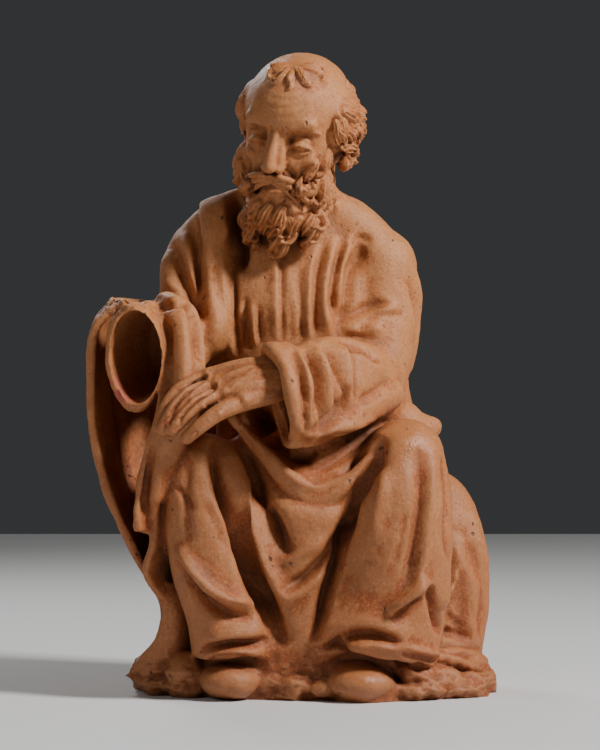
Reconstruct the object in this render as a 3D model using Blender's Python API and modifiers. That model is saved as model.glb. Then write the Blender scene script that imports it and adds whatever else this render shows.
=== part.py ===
# Seated bearded saint in fired clay, one solid with the rocky ground that it sits on.
#
# The figure is laid out on a grid of 640 parts to its height. X runs to the viewer's right, Y away
# from the viewer and Z up from the ground, with the origin on the underside. Forms are given in parts
# of that grid, and folds are drawn as a viewer sees them, on an upright picture plane through the origin.

import math

import bmesh
import bpy
import numpy as np
from mathutils import Matrix, Vector

# Driving dimensions, in metres
HEIGHT = 0.85  # ground to crown
CLOTH_WALL = 0.012  # thickness of cloth that stands free
VIEWING_DISTANCE = 4.0  # where a viewer stands to draw the folds

# Fineness of the modelling
CORE_VOXEL = 0.0055
FORM_VOXEL = 0.0042
HEAD_VOXEL = 0.0030
BODY_TRIANGLES = 5750
HEAD_TRIANGLES = 2050
HAND_TRIANGLES = 740

PART = HEIGHT / 640
EYE_LEVEL = 318 * PART
EYE_SIDE = -8 * PART
CLAY = (0.40, 0.17, 0.075, 1.0)
CLAY_ROUGHNESS = 0.7

# Lofts: centre X, Y, Z, then half width and half depth
TORSO = [
    (0, 60, 100, 126, 80),
    (0, 58, 175, 114, 76),
    (-4, 48, 240, 92, 62),
    (-10, 38, 310, 86, 56),
    (-16, 32, 380, 92, 56),
    (-16, 36, 430, 92, 50),
    (-14, 36, 466, 72, 42),
    (-12, 26, 497, 44, 36),
    (-10, 8, 530, 34, 34),
]
BACK_MANTLE = [
    (-10, 66, 478, 70, 26),
    (-12, 84, 420, 100, 34),
    (-12, 94, 340, 112, 38),
    (-6, 104, 240, 124, 40),
    (4, 108, 140, 138, 42),
    (6, 108, 10, 146, 44),
]
SEAT = [
    (24, 70, -10, 156, 76),
    (24, 70, 40, 157, 76),
    (24, 70, 100, 163, 74),
    (24, 72, 145, 160, 70),
    (22, 74, 168, 148, 62),
    (18, 76, 182, 118, 44),
]
LEFT_LEG = [
    (94, -66, 240, 40, 38),
    (94, -72, 205, 46, 44),
    (92, -72, 150, 50, 44),
    (82, -66, 95, 54, 42),
    (68, -62, 50, 60, 42),
]
RIGHT_LEG = [
    (-102, -60, 232, 36, 34),
    (-101, -66, 200, 41, 40),
    (-95, -64, 140, 42, 40),
    (-80, -58, 84, 40, 38),
    (-74, -52, 46, 42, 38),
]
BETWEEN_LEGS = [
    (-4, -16, -10, 96, 50),
    (-4, -18, 40, 94, 54),
    (-4, -20, 90, 90, 64),
    (-2, -20, 150, 92, 72),
    (2, -22, 192, 90, 76),
    (4, -24, 206, 84, 66),
]
UNDER_HEMS = [
    (-4, -16, -10, 112, 54),
    (-4, -14, 30, 112, 54),
    (-2, -10, 64, 106, 50),
]
FOREARM_SLEEVE = [
    (64, 14, 306, 38, 38),
    (44, -30, 308, 36, 46),
    (20, -66, 306, 34, 50),
    (0, -92, 298, 31, 51),
    (-16, -108, 295, 28, 48),
]
HANGING_ARM_SLEEVE = [
    (-132, -8, 350, 38, 44),
    (-150, -45, 344, 32, 50),
    (-166, -78, 337, 29, 54),
    (-173, -96, 334, 28, 56),
]
SLEEVE_HOLLOW = [
    (-138, -20, 345, 12, 26),
    (-150, -48, 342, 15, 34),
    (-158, -84, 338, 18, 40),
    (-163, -130, 335, 20, 43),
]
CUFF_HOLLOW = [
    (8, -94, 294, 12, 26),
    (-12, -103, 293, 16, 34),
    (-34, -114, 291, 17, 37),
    (-60, -126, 289, 18, 38),
]

# Round rolls: X, Y, Z, radius
CORE_ROLLS = [
    [(6, 30, 488, 26), (48, 34, 462, 30), (72, 36, 430, 36)],
    [(-40, 30, 496, 22), (-90, 34, 466, 30), (-108, 36, 434, 38)],
    [(73, 36, 430, 37), (74, 34, 396, 38), (71, 26, 350, 39), (60, 8, 308, 38)],
    [(-108, 36, 436, 37), (-114, 28, 400, 37), (-118, 10, 366, 38), (-130, -14, 350, 36)],
    [(50, 60, 190, 50), (74, 0, 212, 46), (94, -66, 234, 42)],
    [(-50, 60, 190, 48), (-78, 0, 206, 44), (-102, -60, 224, 38)],
    [(84, 22, 270, 28), (110, 26, 262, 24), (126, 28, 266, 12)],
]
FRONT_ROLLS = [
    # the mantle's roll over the forearm, falling beside the knee
    [(-140, -30, 384, 16), (-128, -58, 372, 22), (-121, -78, 335, 22), (-124, -86, 290, 21),
     (-138, -84, 250, 18), (-148, -78, 205, 12)],
    # the lap's front edge, hung between the knees
    [(-72, -76, 270, 12), (-46, -80, 242, 15), (-20, -82, 214, 17), (10, -80, 197, 18),
     (40, -82, 210, 17), (66, -84, 238, 14), (82, -84, 252, 10)],
    # the mantle's collar round the neck
    [(-46, 4, 496, 10), (-54, 30, 508, 13), (-36, 56, 514, 15), (-10, 66, 514, 15),
     (18, 54, 512, 14), (34, 28, 504, 12), (30, 6, 494, 8)],
    # the mantle's end beside the right foot
    [(-142, -40, 112, 11), (-134, -36, 88, 12), (-138, -32, 60, 12), (-154, -20, 34, 13), (-170, -6, 16, 12)],
    # cloth lying over the ground beside the left foot
    [(100, -70, 26, 10), (128, -58, 20, 10), (158, -34, 15, 9), (176, -20, 14, 8)],
    [(98, -60, 40, 12), (118, -44, 44, 14), (150, -10, 46, 12), (172, 20, 40, 9)],
]
CUFF_RING = [
    (-33, -104, 340), (-25, -130, 324), (-17, -139, 294), (-9, -134, 262),
    (-5, -112, 250), (-13, -90, 262), (-22, -80, 295), (-31, -86, 326),
]
CUFF_RADIUS = 12

# Sheets of cloth: rows of X, Y, Z from the front edge backwards
MANTLE_CURTAIN = [
    [(-172, -84, 392), (-190, -50, 394), (-182, 0, 394), (-140, 50, 392)],
    [(-206, -76, 366), (-208, -34, 368), (-194, 16, 366), (-140, 70, 366)],
    [(-213, -70, 320), (-211, -26, 320), (-192, 26, 318), (-136, 84, 316)],
    [(-211, -66, 262), (-204, -24, 260), (-184, 30, 256), (-128, 92, 250)],
    [(-196, -62, 200), (-188, -20, 198), (-168, 32, 194), (-120, 92, 190)],
    [(-168, -56, 140), (-164, -20, 136), (-148, 30, 130), (-110, 90, 124)],
    [(-148, -46, 92), (-148, -14, 88), (-136, 30, 84), (-104, 86, 80)],
]
MANTLE_LAPPET = [
    [(-140, -88, 350), (-126, -60, 346), (-116, -20, 340)],
    [(-143, -96, 290), (-130, -62, 288), (-118, -20, 284)],
    [(-156, -96, 245), (-144, -60, 240), (-128, -16, 236)],
    [(-165, -92, 205), (-153, -58, 200), (-138, -14, 196)],
    [(-167, -88, 166), (-156, -56, 162), (-142, -12, 160)],
]
SKIRT_SIDE = [
    [(-147, -92, 262), (-134, -60, 256), (-120, -10, 250)],
    [(-152, -84, 220), (-136, -50, 216), (-124, 0, 212)],
    [(-152, -76, 160), (-134, -40, 158), (-122, 6, 154)],
    [(-160, -66, 124), (-138, -34, 122), (-124, 10, 118)],
    [(-142, -44, 92), (-130, -24, 90), (-120, 12, 88)],
]
# Balls: centre X, Y, Z, then half sizes
LOW_FORMS = [
    (-76, -58, 19, 30, 34, 19),  # right shoe
    (-66, -40, 34, 36, 26, 20),
    (52, -74, 18, 33, 34, 19),  # left shoe
    (50, -52, 32, 44, 26, 18),
    (-120, -36, 24, 20, 26, 22),  # hem against the ground
    (-152, 22, 18, 26, 38, 22),  # rock at the right foot
]
GROUND_OUTLINE = [
    (-178, 62), (-168, 28), (-120, -6), (-62, -40), (7, -64), (50, -94), (93, -78),
    (140, -52), (178, -24), (182, 40), (168, 116), (96, 148), (-60, 150), (-150, 118),
]
GROUND_TOP = 16

# The hand on the right knee: rolls of X, Y, Z, radius
PALM = [
    [(20, -84, 312, 15), (-14, -100, 322, 15), (-36, -102, 324, 13), (-64, -102, 322, 12), (-98, -100, 316, 9)],
    [(20, -88, 308, 16), (-14, -104, 318, 16), (-36, -108, 316, 14), (-62, -110, 313, 13), (-92, -110, 308, 10)],
    [(20, -90, 304, 15), (-14, -108, 314, 15), (-34, -112, 308, 14), (-58, -117, 305, 13), (-84, -120, 300, 10)],
    [(-20, -106, 308, 12), (-36, -114, 302, 12), (-62, -124, 294, 11)],
]
FINGERS = [
    [(-98, -100, 316, 8), (-118, -106, 308, 7.5), (-134, -112, 292, 7), (-144, -112, 268, 6)],
    [(-92, -110, 308, 8.5), (-112, -120, 300, 8), (-128, -126, 286, 7.5), (-140, -124, 266, 6.5)],
    [(-84, -120, 300, 8.5), (-104, -130, 291, 8), (-118, -134, 279, 7.5), (-130, -132, 266, 6.5)],
    [(-62, -124, 292, 9), (-84, -134, 283, 8.5), (-102, -138, 270, 7.5), (-116, -134, 258, 6.5)],
]

# The head, in its own frame: its middle is the origin, the face looks along -Y and the crown is up
HEAD_CENTRE = (-13, -22, 560)
HEAD_TURN = 20  # towards the figure's right, degrees
HEAD_BOW = 24
HEAD_TILT = 11  # the crown leans towards the figure's left
SKULL = (0, 10, 23, 53, 62, 53)
FACE = [
    (0, -2, 46, 42, 38),
    (0, -6, 22, 46, 43),
    (0, -8, -6, 46, 41),
    (0, -11, -30, 42, 41),
    (0, -16, -54, 32, 36),
    (0, -22, -72, 19, 22),
]
NECK = [(0, 30, -20, 34, 34), (0, 40, -60, 34, 34), (0, 50, -96, 36, 34)]
SOFT_FACE = [  # balls blended into the head before the features
    (-30, -35, -16, 12, 9, 9),
    (30, -35, -16, 12, 9, 9),
    (-34, -10, -50, 13, 25, 30),
    (34, -10, -50, 13, 25, 30),
    (0, -28, -74, 36, 28, 24),
    (0, -36, -46, 20, 16, 14),
    (-22, -38, 22, 17, 9, 8),
    (22, -38, 22, 17, 9, 8),
    (0, 22, 0, 55, 56, 46),
]
FACE_ROLLS = [
    [(-40, -33, 13, 2.5), (-25, -45, 20, 3.6), (-9, -48, 18, 3)],
    [(40, -33, 13, 2.5), (25, -45, 20, 3.6), (9, -48, 18, 3)],
    [(0, -45, 16, 4.5), (0, -52, 4, 4.5), (0, -60, -10, 5.5), (0, -63, -19, 6.5)],
    [(-5, -46, 8, 4), (-6, -50, -6, 5), (-7, -53, -18, 5.5)],
    [(5, -46, 8, 4), (6, -50, -6, 5), (7, -53, -18, 5.5)],
    [(-12, -47, -48, 3), (0, -51, -50, 4.2), (12, -47, -48, 3)],
    [(-13, -39, -2, 1.8), (-17, -44, 1, 1.8), (-22, -46, 1.5, 1.8), (-28, -43, 0.5, 1.8), (-33, -38, -3, 1.6)],
    [(13, -39, -2, 1.8), (17, -44, 1, 1.8), (22, -46, 1.5, 1.8), (28, -43, 0.5, 1.8), (33, -38, -3, 1.6)],
    [(-13, -39, -3, 1.5), (-18, -42, -7, 1.7), (-23, -43, -8, 1.8), (-28, -41, -7, 1.7), (-33, -37, -4, 1.5)],
    [(13, -39, -3, 1.5), (18, -42, -7, 1.7), (23, -43, -8, 1.8), (28, -41, -7, 1.7), (33, -37, -4, 1.5)],
    [(-50, 2, 2, 2.5), (-55, 4, 10, 3), (-58, 12, 12, 3), (-58, 19, 6, 3), (-55, 16, -8, 3), (-52, 8, -16, 3.5)],
    [(50, 2, 2, 2.5), (55, 4, 10, 3), (58, 12, 12, 3), (58, 19, 6, 3), (55, 16, -8, 3), (52, 8, -16, 3.5)],
]
FACE_BALLS = [
    (-7.5, -55, -22, 5, 6.5, 4.8),
    (7.5, -55, -22, 5, 6.5, 4.8),
    (-22.5, -36.5, -2, 8.6, 8.2, 8.2),
    (22.5, -36.5, -2, 8.6, 8.2, 8.2),
    (-22.5, -36, 2, 9.8, 8.6, 8),
    (22.5, -36, 2, 9.8, 8.6, 8),
    (-53, 12, -2, 4, 9, 13),
    (53, 12, -2, 4, 9, 13),
]
MOUSTACHE = [
    [(1, -57, -31, 3), (11, -58, -33, 4.5), (23, -53, -39, 4.5), (33, -46, -50, 3.5), (37, -45, -60, 2)],
    [(1, -57, -35, 3), (10, -57, -38, 4), (20, -52, -45, 4), (28, -47, -56, 3), (29, -48, -64, 2)],
]
# Rows of locks: height, half width, half depth, first and last angle from the face, count, length, radius
HAIR_ROWS = [
    (46, 45, 53, 112, 248, 9, 22, 6),
    (32, 48, 57, 92, 268, 13, 22, 6.5),
    (17, 51, 60, 80, 280, 15, 22, 7),
    (2, 53, 62, 76, 284, 16, 22, 7),
    (-13, 53, 61, 78, 282, 15, 22, 7),
    (-28, 50, 57, 96, 264, 12, 22, 7),
    (-42, 45, 52, 118, 242, 8, 20, 6.5),
]
BEARD_ROWS = [
    (-12, 49, 44, 62, 78, 2, 18, 5),
    (-12, 49, 44, 282, 298, 2, 18, 5),
    (-27, 47, 48, 50, 84, 4, 20, 5.5),
    (-27, 47, 48, 276, 310, 4, 20, 5.5),
    (-42, 44, 52, 42, 88, 5, 20, 6),
    (-42, 44, 52, 272, 318, 5, 20, 6),
    (-56, 40, 55, -80, 80, 13, 20, 6.5),
    (-69, 35, 56, -76, 76, 11, 20, 7),
    (-82, 27, 52, -70, 70, 8, 20, 7),
    (-92, 15, 42, -60, 60, 4, 18, 7),
]
# The tuft on the brow: root X and Z on the head, the way it lies in degrees from downwards, length, radius
FORELOCK = [
    (2, 66, 20, 20, 5), (12, 67, 62, 18, 5), (-8, 66, -24, 18, 5), (16, 61, 34, 18, 4.6), (-14, 61, -58, 15, 4.6),
]

# Strokes on the picture plane: kind, half width, height, then points of X and Z.
# A ridge rises and a valley sinks on both sides; an edge rises on the left hand of its direction.
FACE_HOLLOWS = [
    ("valley", 10, 9, [(-34, 4), (-22, 5), (-11, 4)]),
    ("valley", 10, 9, [(34, 4), (22, 5), (11, 4)]),
    ("valley", 5, 3, [(-13, -22), (-20, -34), (-24, -46)]),
    ("valley", 5, 3, [(13, -22), (20, -34), (24, -46)]),
]
TUNIC_FOLDS = [
    ("ridge", 4, 3, [(-33, 443), (-34, 403), (-32, 350)]),
    ("valley", 3, 4, [(-27, 447), (-28, 403), (-25, 348)]),
    ("ridge", 3.5, 3, [(-58, 393), (-55, 373), (-51, 345)]),
    ("valley", 3.5, 3, [(-63, 398), (-61, 373), (-57, 343)]),
    ("ridge", 3.5, 3, [(-70, 393), (-67, 348)]),
    ("valley", 5, 2, [(-8, 410), (-6, 348)]),
    ("ridge", 4, 3, [(12, 453), (3, 425), (2, 393), (4, 351)]),
    ("valley", 4, 3, [(18, 453), (9, 423), (8, 393), (10, 351)]),
    ("ridge", 5, 5, [(29, 457), (20, 425), (17, 393), (23, 368), (28, 355)]),
    ("valley", 4, 5, [(34, 453), (27, 423), (25, 398), (30, 375)]),
    ("ridge", 5, 6, [(44, 461), (34, 431), (32, 403), (37, 387)]),
    ("valley", 7, 12, [(56, 465), (47, 437), (41, 408), (37, 383), (28, 357)]),
    ("valley", 9, 10, [(-74, 486), (-73, 433), (-71, 393), (-70, 343)]),
]
MANTLE_FOLDS = [
    ("edge", 22, 10, [(-74, 334), (-75, 393), (-77, 433), (-82, 497)]),
    ("edge", 14, 6, [(-106, 484), (-105, 413), (-101, 373), (-97, 333)]),
    ("valley", 3, 4, [(-108, 484), (-107, 413), (-103, 373), (-99, 333)]),
    ("valley", 6, 16, [(-116, 400), (-107, 368), (-102, 328)]),
    ("valley", 6, 9, [(-136, 452), (-126, 423), (-115, 398), (-106, 376)]),
    ("ridge", 8, 5, [(-142, 443), (-138, 413), (-130, 396)]),
    ("ridge", 6, 5, [(-125, 456), (-116, 423), (-109, 392)]),
    ("valley", 5, 5, [(-158, 396), (-143, 390), (-128, 391), (-116, 394)]),
    ("valley", 4, 8, [(-150, 388), (-142, 368), (-139, 343), (-140, 308), (-148, 278)]),
]
SLEEVE_FOLDS = [
    ("valley", 6, 10, [(30, 353), (44, 347), (58, 340), (69, 330)]),
    ("ridge", 6, 5, [(28, 361), (47, 368), (72, 375), (92, 381)]),
    ("valley", 5, 5, [(37, 378), (54, 385), (77, 390)]),
    ("ridge", 6, 6, [(37, 352), (54, 356), (77, 364)]),
    ("valley", 4, 7, [(24, 351), (40, 335), (48, 308), (48, 283)]),
    ("ridge", 5, 6, [(18, 349), (34, 331), (42, 303), (43, 277)]),
    ("valley", 4, 5, [(10, 350), (22, 333), (29, 308), (30, 291)]),
    ("ridge", 5, 5, [(4, 347), (14, 328), (20, 305), (18, 286)]),
    ("valley", 4, 5, [(-5, 345), (4, 328), (10, 305)]),
    ("valley", 5, 9, [(37, 307), (28, 285), (14, 268), (1, 253)]),
    ("valley", 4, 6, [(-18, 345), (-8, 325), (-2, 295), (2, 250)]),
    ("ridge", 5, 5, [(4, 257), (27, 264), (52, 269), (77, 281)]),
]
SKIRT_FOLDS = [
    ("valley", 8, 15, [(-70, 266), (-48, 210), (-31, 172), (-14, 138)]),
    ("valley", 7, 24, [(-96, 256), (-86, 226), (-68, 156), (-51, 116), (-36, 76), (-26, 44)]),
    ("ridge", 7, 7, [(-76, 262), (-61, 203), (-45, 136), (-29, 92), (-14, 66)]),
    ("valley", 7, 18, [(78, 258), (62, 226), (39, 170), (22, 123), (8, 78), (-18, 50)]),
    ("edge", 22, 9, [(68, 230), (44, 170), (27, 123), (14, 76), (5, 46)]),
    ("valley", 5, 8, [(-34, 101), (-11, 123), (12, 146), (34, 172)]),
    ("ridge", 6, 5, [(-30, 90), (-8, 108), (10, 126)]),
    ("ridge", 6, 9, [(-130, 148), (-111, 126), (-81, 101), (-49, 90)]),
    ("valley", 7, 7, [(-131, 133), (-113, 104), (-83, 82), (-50, 75)]),
    ("valley", 3, 3, [(-133, 210), (-124, 196), (-114, 182)]),
    ("ridge", 5, 6, [(-98, 197), (-81, 170), (-63, 142)]),
    ("valley", 4, 5, [(-104, 193), (-89, 165), (-72, 138)]),
    ("valley", 7, 9, [(-112, 62), (-74, 64), (-36, 62)]),
    ("ridge", 5, 9, [(-108, 48), (-78, 56), (-46, 58), (-28, 52)]),
    ("valley", 4, 9, [(-110, 36), (-95, 44), (-68, 46), (-40, 40)]),
    ("valley", 6, 16, [(2, 48), (27, 63), (67, 65), (102, 55)]),
    ("ridge", 5, 9, [(3, 42), (32, 47), (67, 48), (100, 44)]),
    ("valley", 7, 8, [(114, 247), (115, 193), (106, 133), (94, 98)]),
    ("ridge", 6, 4, [(126, 253), (128, 203), (124, 153), (118, 118)]),
    ("ridge", 6, 11, [(122, 118), (100, 97), (80, 78)]),
    ("valley", 5, 7, [(116, 92), (101, 82), (86, 70)]),
    ("valley", 5, 8, [(120, 106), (124, 80), (129, 60)]),
    ("valley", 4, 5, [(136, 245), (140, 193), (138, 153)]),
    ("ridge", 5, 4, [(-68, 276), (-46, 247), (-18, 219), (10, 202), (40, 221), (64, 245), (77, 258)]),
    ("valley", 3, 4, [(-20, 227), (-5, 216), (12, 213)]),
    ("ridge", 5, 8, [(144, 163), (151, 136), (163, 104), (165, 40)]),
    ("valley", 6, 12, [(126, 66), (142, 60), (164, 56)]),
    ("valley", 5, 6, [(128, 42), (150, 40), (166, 38)]),
]
# The sides that the first view doesn't show, by the angle that brings each to the front
FAR_FOLDS = [
    (180, [
        ("valley", 8, 10, [(-66, 440), (-72, 340), (-88, 220), (-96, 50)]),
        ("ridge", 9, 7, [(-40, 452), (-44, 340), (-56, 200), (-60, 30)]),
        ("valley", 8, 11, [(-14, 455), (-14, 330), (-20, 190), (-14, 30)]),
        ("ridge", 9, 7, [(14, 455), (18, 330), (22, 180), (32, 30)]),
        ("valley", 8, 11, [(40, 448), (52, 330), (62, 190), (78, 30)]),
        ("ridge", 9, 7, [(64, 436), (82, 320), (100, 180), (116, 40)]),
        ("valley", 7, 8, [(82, 420), (104, 310), (124, 180), (138, 60)]),
    ]),
    (-90, [
        ("valley", 7, 9, [(16, 172), (8, 120), (16, 30)]),
        ("ridge", 8, 7, [(38, 178), (32, 110), (42, 24)]),
        ("valley", 8, 10, [(62, 180), (60, 110), (74, 24)]),
        ("ridge", 8, 7, [(88, 180), (90, 110), (100, 24)]),
        ("valley", 6, 7, [(10, 420), (26, 370), (20, 310)]),
        ("ridge", 6, 5, [(24, 430), (40, 370), (34, 300)]),
    ]),
    (90, [
        ("valley", 9, 3, [(30, 380), (26, 300), (14, 200), (0, 120)]),
        ("ridge", 9, 4, [(6, 384), (0, 300), (-14, 200), (-24, 110)]),
        ("valley", 9, 3, [(-24, 380), (-34, 300), (-46, 200), (-56, 100)]),
    ]),
]


def smooth_through(points, steps):
    """A Catmull-Rom curve through the points, as an array with steps to each span."""
    points = np.asarray(points, float)
    ends = np.vstack([2 * points[0] - points[1], points, 2 * points[-1] - points[-2]])
    t = np.linspace(0, 1, steps, endpoint=False)[:, None]
    spans = []
    for a, b, c, d in zip(ends, ends[1:], ends[2:], ends[3:]):
        spans.append(0.5 * (2 * b + (c - a) * t + (2 * a - 5 * b + 4 * c - d) * t**2
                            + (3 * b - a - 3 * c + d) * t**3))
    return np.vstack([*spans, points[-1:]])


def unit_ball():
    """The ball that each rounded form is a copy of."""
    bm = bmesh.new()
    bmesh.ops.create_uvsphere(bm, u_segments=20, v_segments=12, radius=1)
    mesh = bpy.data.meshes.new("ball")
    bm.to_mesh(mesh)
    bm.free()
    return mesh


def add_ball(bm, ball):
    """An ellipsoid, from its centre and half sizes in parts."""
    mesh = bpy.data.meshes["ball"].copy()
    mesh.transform(Matrix.Translation(Vector(ball[:3]) * PART) @ Matrix.Diagonal((*(Vector(ball[3:6]) * PART), 1)))
    bm.from_mesh(mesh)
    bpy.data.meshes.remove(mesh)


def add_loft(bm, sections, steps=5, sides=24):
    """A closed loft through oval sections that stand square to the line of their centres."""
    line = smooth_through(sections, steps)
    centres = line[:, :3] * PART
    halves = line[:, 3:5] * PART
    tangents = np.gradient(centres, axis=0)
    upright = abs(tangents[:, 2]).mean() > abs(tangents[:, :2]).sum(axis=1).mean()
    depth_axis = Vector((0, 1, 0)) if upright else Vector((0, 0, 1))
    rings = []
    for centre, half, tangent in zip(centres, halves, tangents):
        side = Vector(tangent).cross(depth_axis).normalized()
        deep = side.cross(Vector(tangent)).normalized()
        rings.append([
            bm.verts.new(Vector(centre) + side * half[0] * math.cos(a) + deep * half[1] * math.sin(a))
            for a in np.linspace(0, 2 * math.pi, sides, endpoint=False)
        ])
    for ring, above in zip(rings, rings[1:]):
        for i in range(sides):
            bm.faces.new((ring[i], ring[(i + 1) % sides], above[(i + 1) % sides], above[i]))
    bm.faces.new(reversed(rings[0]))
    bm.faces.new(rings[-1])


def add_evaluated(bm, obj):
    """Adds an object's evaluated mesh, then removes the object."""
    bpy.context.scene.collection.objects.link(obj)
    graph = bpy.context.evaluated_depsgraph_get()
    mesh = bpy.data.meshes.new_from_object(obj.evaluated_get(graph))
    bm.from_mesh(mesh)
    bpy.data.meshes.remove(mesh)
    bpy.data.objects.remove(obj)


def add_rolls(bm, rolls, closed=False):
    """Round tubes through points of X, Y, Z and radius in parts."""
    curve = bpy.data.curves.new("rolls", "CURVE")
    curve.dimensions = "3D"
    curve.bevel_depth = 1.0
    curve.bevel_resolution = 5
    curve.resolution_u = 8
    curve.use_fill_caps = True
    for roll in rolls:
        spline = curve.splines.new("BEZIER")
        spline.bezier_points.add(len(roll) - 1)
        for point, (x, y, z, radius) in zip(spline.bezier_points, roll):
            point.co = Vector((x, y, z)) * PART
            point.radius = radius * PART
            point.handle_left_type = point.handle_right_type = "AUTO"
        spline.use_cyclic_u = closed
    add_evaluated(bm, bpy.data.objects.new("rolls", curve))
    for roll in [] if closed else rolls:
        for x, y, z, radius in (roll[0], roll[-1]):
            add_ball(bm, (x, y, z, radius, radius, radius))


def add_sheet(bm, rows, wall, steps=6):
    """A sheet of cloth of even thickness, smooth through its rows of points."""
    across = np.array([smooth_through(row, steps) for row in rows])
    grid = smooth_through(across.reshape(len(rows), -1), steps).reshape(-1, across.shape[1], 3) * PART
    count_v, count_u = grid.shape[:2]
    faces = [
        (v * count_u + u, v * count_u + u + 1, (v + 1) * count_u + u + 1, (v + 1) * count_u + u)
        for v in range(count_v - 1) for u in range(count_u - 1)
    ]
    mesh = bpy.data.meshes.new("sheet")
    mesh.from_pydata([tuple(p) for p in grid.reshape(-1, 3)], [], faces)
    obj = bpy.data.objects.new("sheet", mesh)
    solidify = obj.modifiers.new("wall", "SOLIDIFY")
    solidify.thickness = wall
    solidify.offset = 0
    add_evaluated(bm, obj)


def add_ground(bm):
    """The rough slab under the figure, from a flat outline."""
    corners = smooth_through(GROUND_OUTLINE + GROUND_OUTLINE[:1], 3)[:-1] * PART
    face = bm.faces.new([bm.verts.new((x, y, -12 * PART)) for x, y in corners])
    raised = bmesh.ops.extrude_face_region(bm, geom=[face])["geom"]
    top = [v for v in raised if isinstance(v, bmesh.types.BMVert)]
    bmesh.ops.translate(bm, verts=top, vec=(0, 0, (GROUND_TOP + 12) * PART))


def remeshed(bm, voxel, smoothing):
    """One closed skin round everything in bm, then relaxed."""
    bmesh.ops.recalc_face_normals(bm, faces=bm.faces)
    mesh = bpy.data.meshes.new("skin")
    bm.to_mesh(mesh)
    bm.free()
    obj = bpy.data.objects.new("skin", mesh)
    skin = obj.modifiers.new("skin", "REMESH")
    skin.mode = "VOXEL"
    skin.voxel_size = voxel
    relax = obj.modifiers.new("relax", "SMOOTH")
    relax.iterations = smoothing
    made = bmesh.new()
    add_evaluated(made, obj)
    return made


def on_picture(points, eye):
    """Where a viewer at the eye point sees points given in metres: X and Z on the plane, and depth, in parts."""
    scale = VIEWING_DISTANCE / (VIEWING_DISTANCE + points[:, 1:2])
    return (eye + (points[:, [0, 2]] - eye) * scale) / PART, points[:, 1] / PART


def seen(picture, depth, facing, cell=4, reach=20):
    """How fully each point shows: 1 where it faces the viewer with nothing much nearer in front of it."""
    index = np.floor((picture - picture.min(axis=0)) / cell).astype(int)
    nearest = np.full(index.max(axis=0) + 1, np.inf)
    np.minimum.at(nearest, (index[:, 0], index[:, 1]), depth)
    open_air = depth < nearest[index[:, 0], index[:, 1]] + reach
    return np.clip((facing - 0.05) / 0.3, 0, 1) * open_air


def evened(values, mesh, rounds):
    """Values averaged with their neighbours' along the mesh's edges."""
    ends = np.empty(len(mesh.edges) * 2, np.int32)
    mesh.edges.foreach_get("vertices", ends)
    a, b = ends.reshape(-1, 2).T
    count = np.bincount(np.concatenate((a, b)), minlength=len(values)) + 1
    for _ in range(rounds):
        total = np.bincount(a, values[b], len(values)) + np.bincount(b, values[a], len(values))
        values = (values + total) / count
    return values


def stroke_rise(picture, stroke):
    """How far one stroke lifts each point of the picture, in parts."""
    kind, width, height, path = stroke
    line = smooth_through(path, 6)
    rise = np.zeros(len(picture))
    margin = 3 * width
    near = np.all((picture > line.min(axis=0) - margin) & (picture < line.max(axis=0) + margin), axis=1)
    points = picture[near]
    starts, spans = line[:-1], np.diff(line, axis=0)
    lengths = np.linalg.norm(spans, axis=1)
    offset = points[:, None] - starts
    along = np.clip((offset * spans).sum(axis=2) / lengths**2, 0, 1)
    away = offset - along[..., None] * spans
    distance = np.linalg.norm(away, axis=2)
    nearest = distance.argmin(axis=1)
    rows = np.arange(len(points))
    distance = distance[rows, nearest]
    travelled = (np.concatenate(([0], np.cumsum(lengths)))[nearest] + along[rows, nearest] * lengths[nearest])
    share = travelled / lengths.sum()
    taper = np.clip(np.minimum(share, 1 - share) / 0.22, 0, 1) ** 0.7
    if kind == "edge":
        left = spans[nearest, 0] * away[rows, nearest, 1] - spans[nearest, 1] * away[rows, nearest, 0]
        profile = np.where(left > 0, np.exp(-((distance / width) ** 2)), np.exp(-((distance / 1.5) ** 2)))
    elif kind == "ridge":
        profile = np.exp(-((distance / width) ** 2))
    else:
        profile = -np.exp(-((distance / width) ** 1.6))
    rise[near] = height * taper * profile
    return rise


def vertex_arrays(mesh):
    points = np.empty(len(mesh.vertices) * 3, np.float32)
    normals = np.empty(len(mesh.vertices) * 3, np.float32)
    mesh.vertices.foreach_get("co", points)
    mesh.vertex_normals.foreach_get("vector", normals)
    return points.reshape(-1, 3).astype(float), normals.reshape(-1, 3).astype(float)


def modelled(bm, strokes, turn=0, eye=(EYE_SIDE, EYE_LEVEL)):
    """Presses strokes into the skin, as seen after turning the figure by an angle about Z."""
    mesh = bpy.data.meshes.new("modelled")
    bm.to_mesh(mesh)
    points, normals = vertex_arrays(mesh)
    turned = np.array(Matrix.Rotation(math.radians(turn), 3, "Z"))
    picture, depth = on_picture(points @ turned.T, np.array(eye))
    weight = evened(seen(picture, depth, -(normals @ turned.T)[:, 1]), mesh, 3)
    shown = weight > 0
    rise = np.zeros(len(points))
    for stroke in strokes:
        rise[shown] += stroke_rise(picture[shown], stroke)
    points += normals * (evened(rise * weight, mesh, 1) * PART)[:, None]
    mesh.vertices.foreach_set("co", points.astype(np.float32).ravel())
    bm.clear()
    bm.from_mesh(mesh)
    bpy.data.meshes.remove(mesh)
    return bm


def built_core():
    """The masses of the body and the seat, blended like pressed clay."""
    bm = bmesh.new()
    for loft in (TORSO, BACK_MANTLE, SEAT, LEFT_LEG, RIGHT_LEG, BETWEEN_LEGS, UNDER_HEMS,
                 FOREARM_SLEEVE, HANGING_ARM_SLEEVE):
        add_loft(bm, loft)
    add_rolls(bm, CORE_ROLLS)
    return remeshed(bm, CORE_VOXEL, 10)


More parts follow.
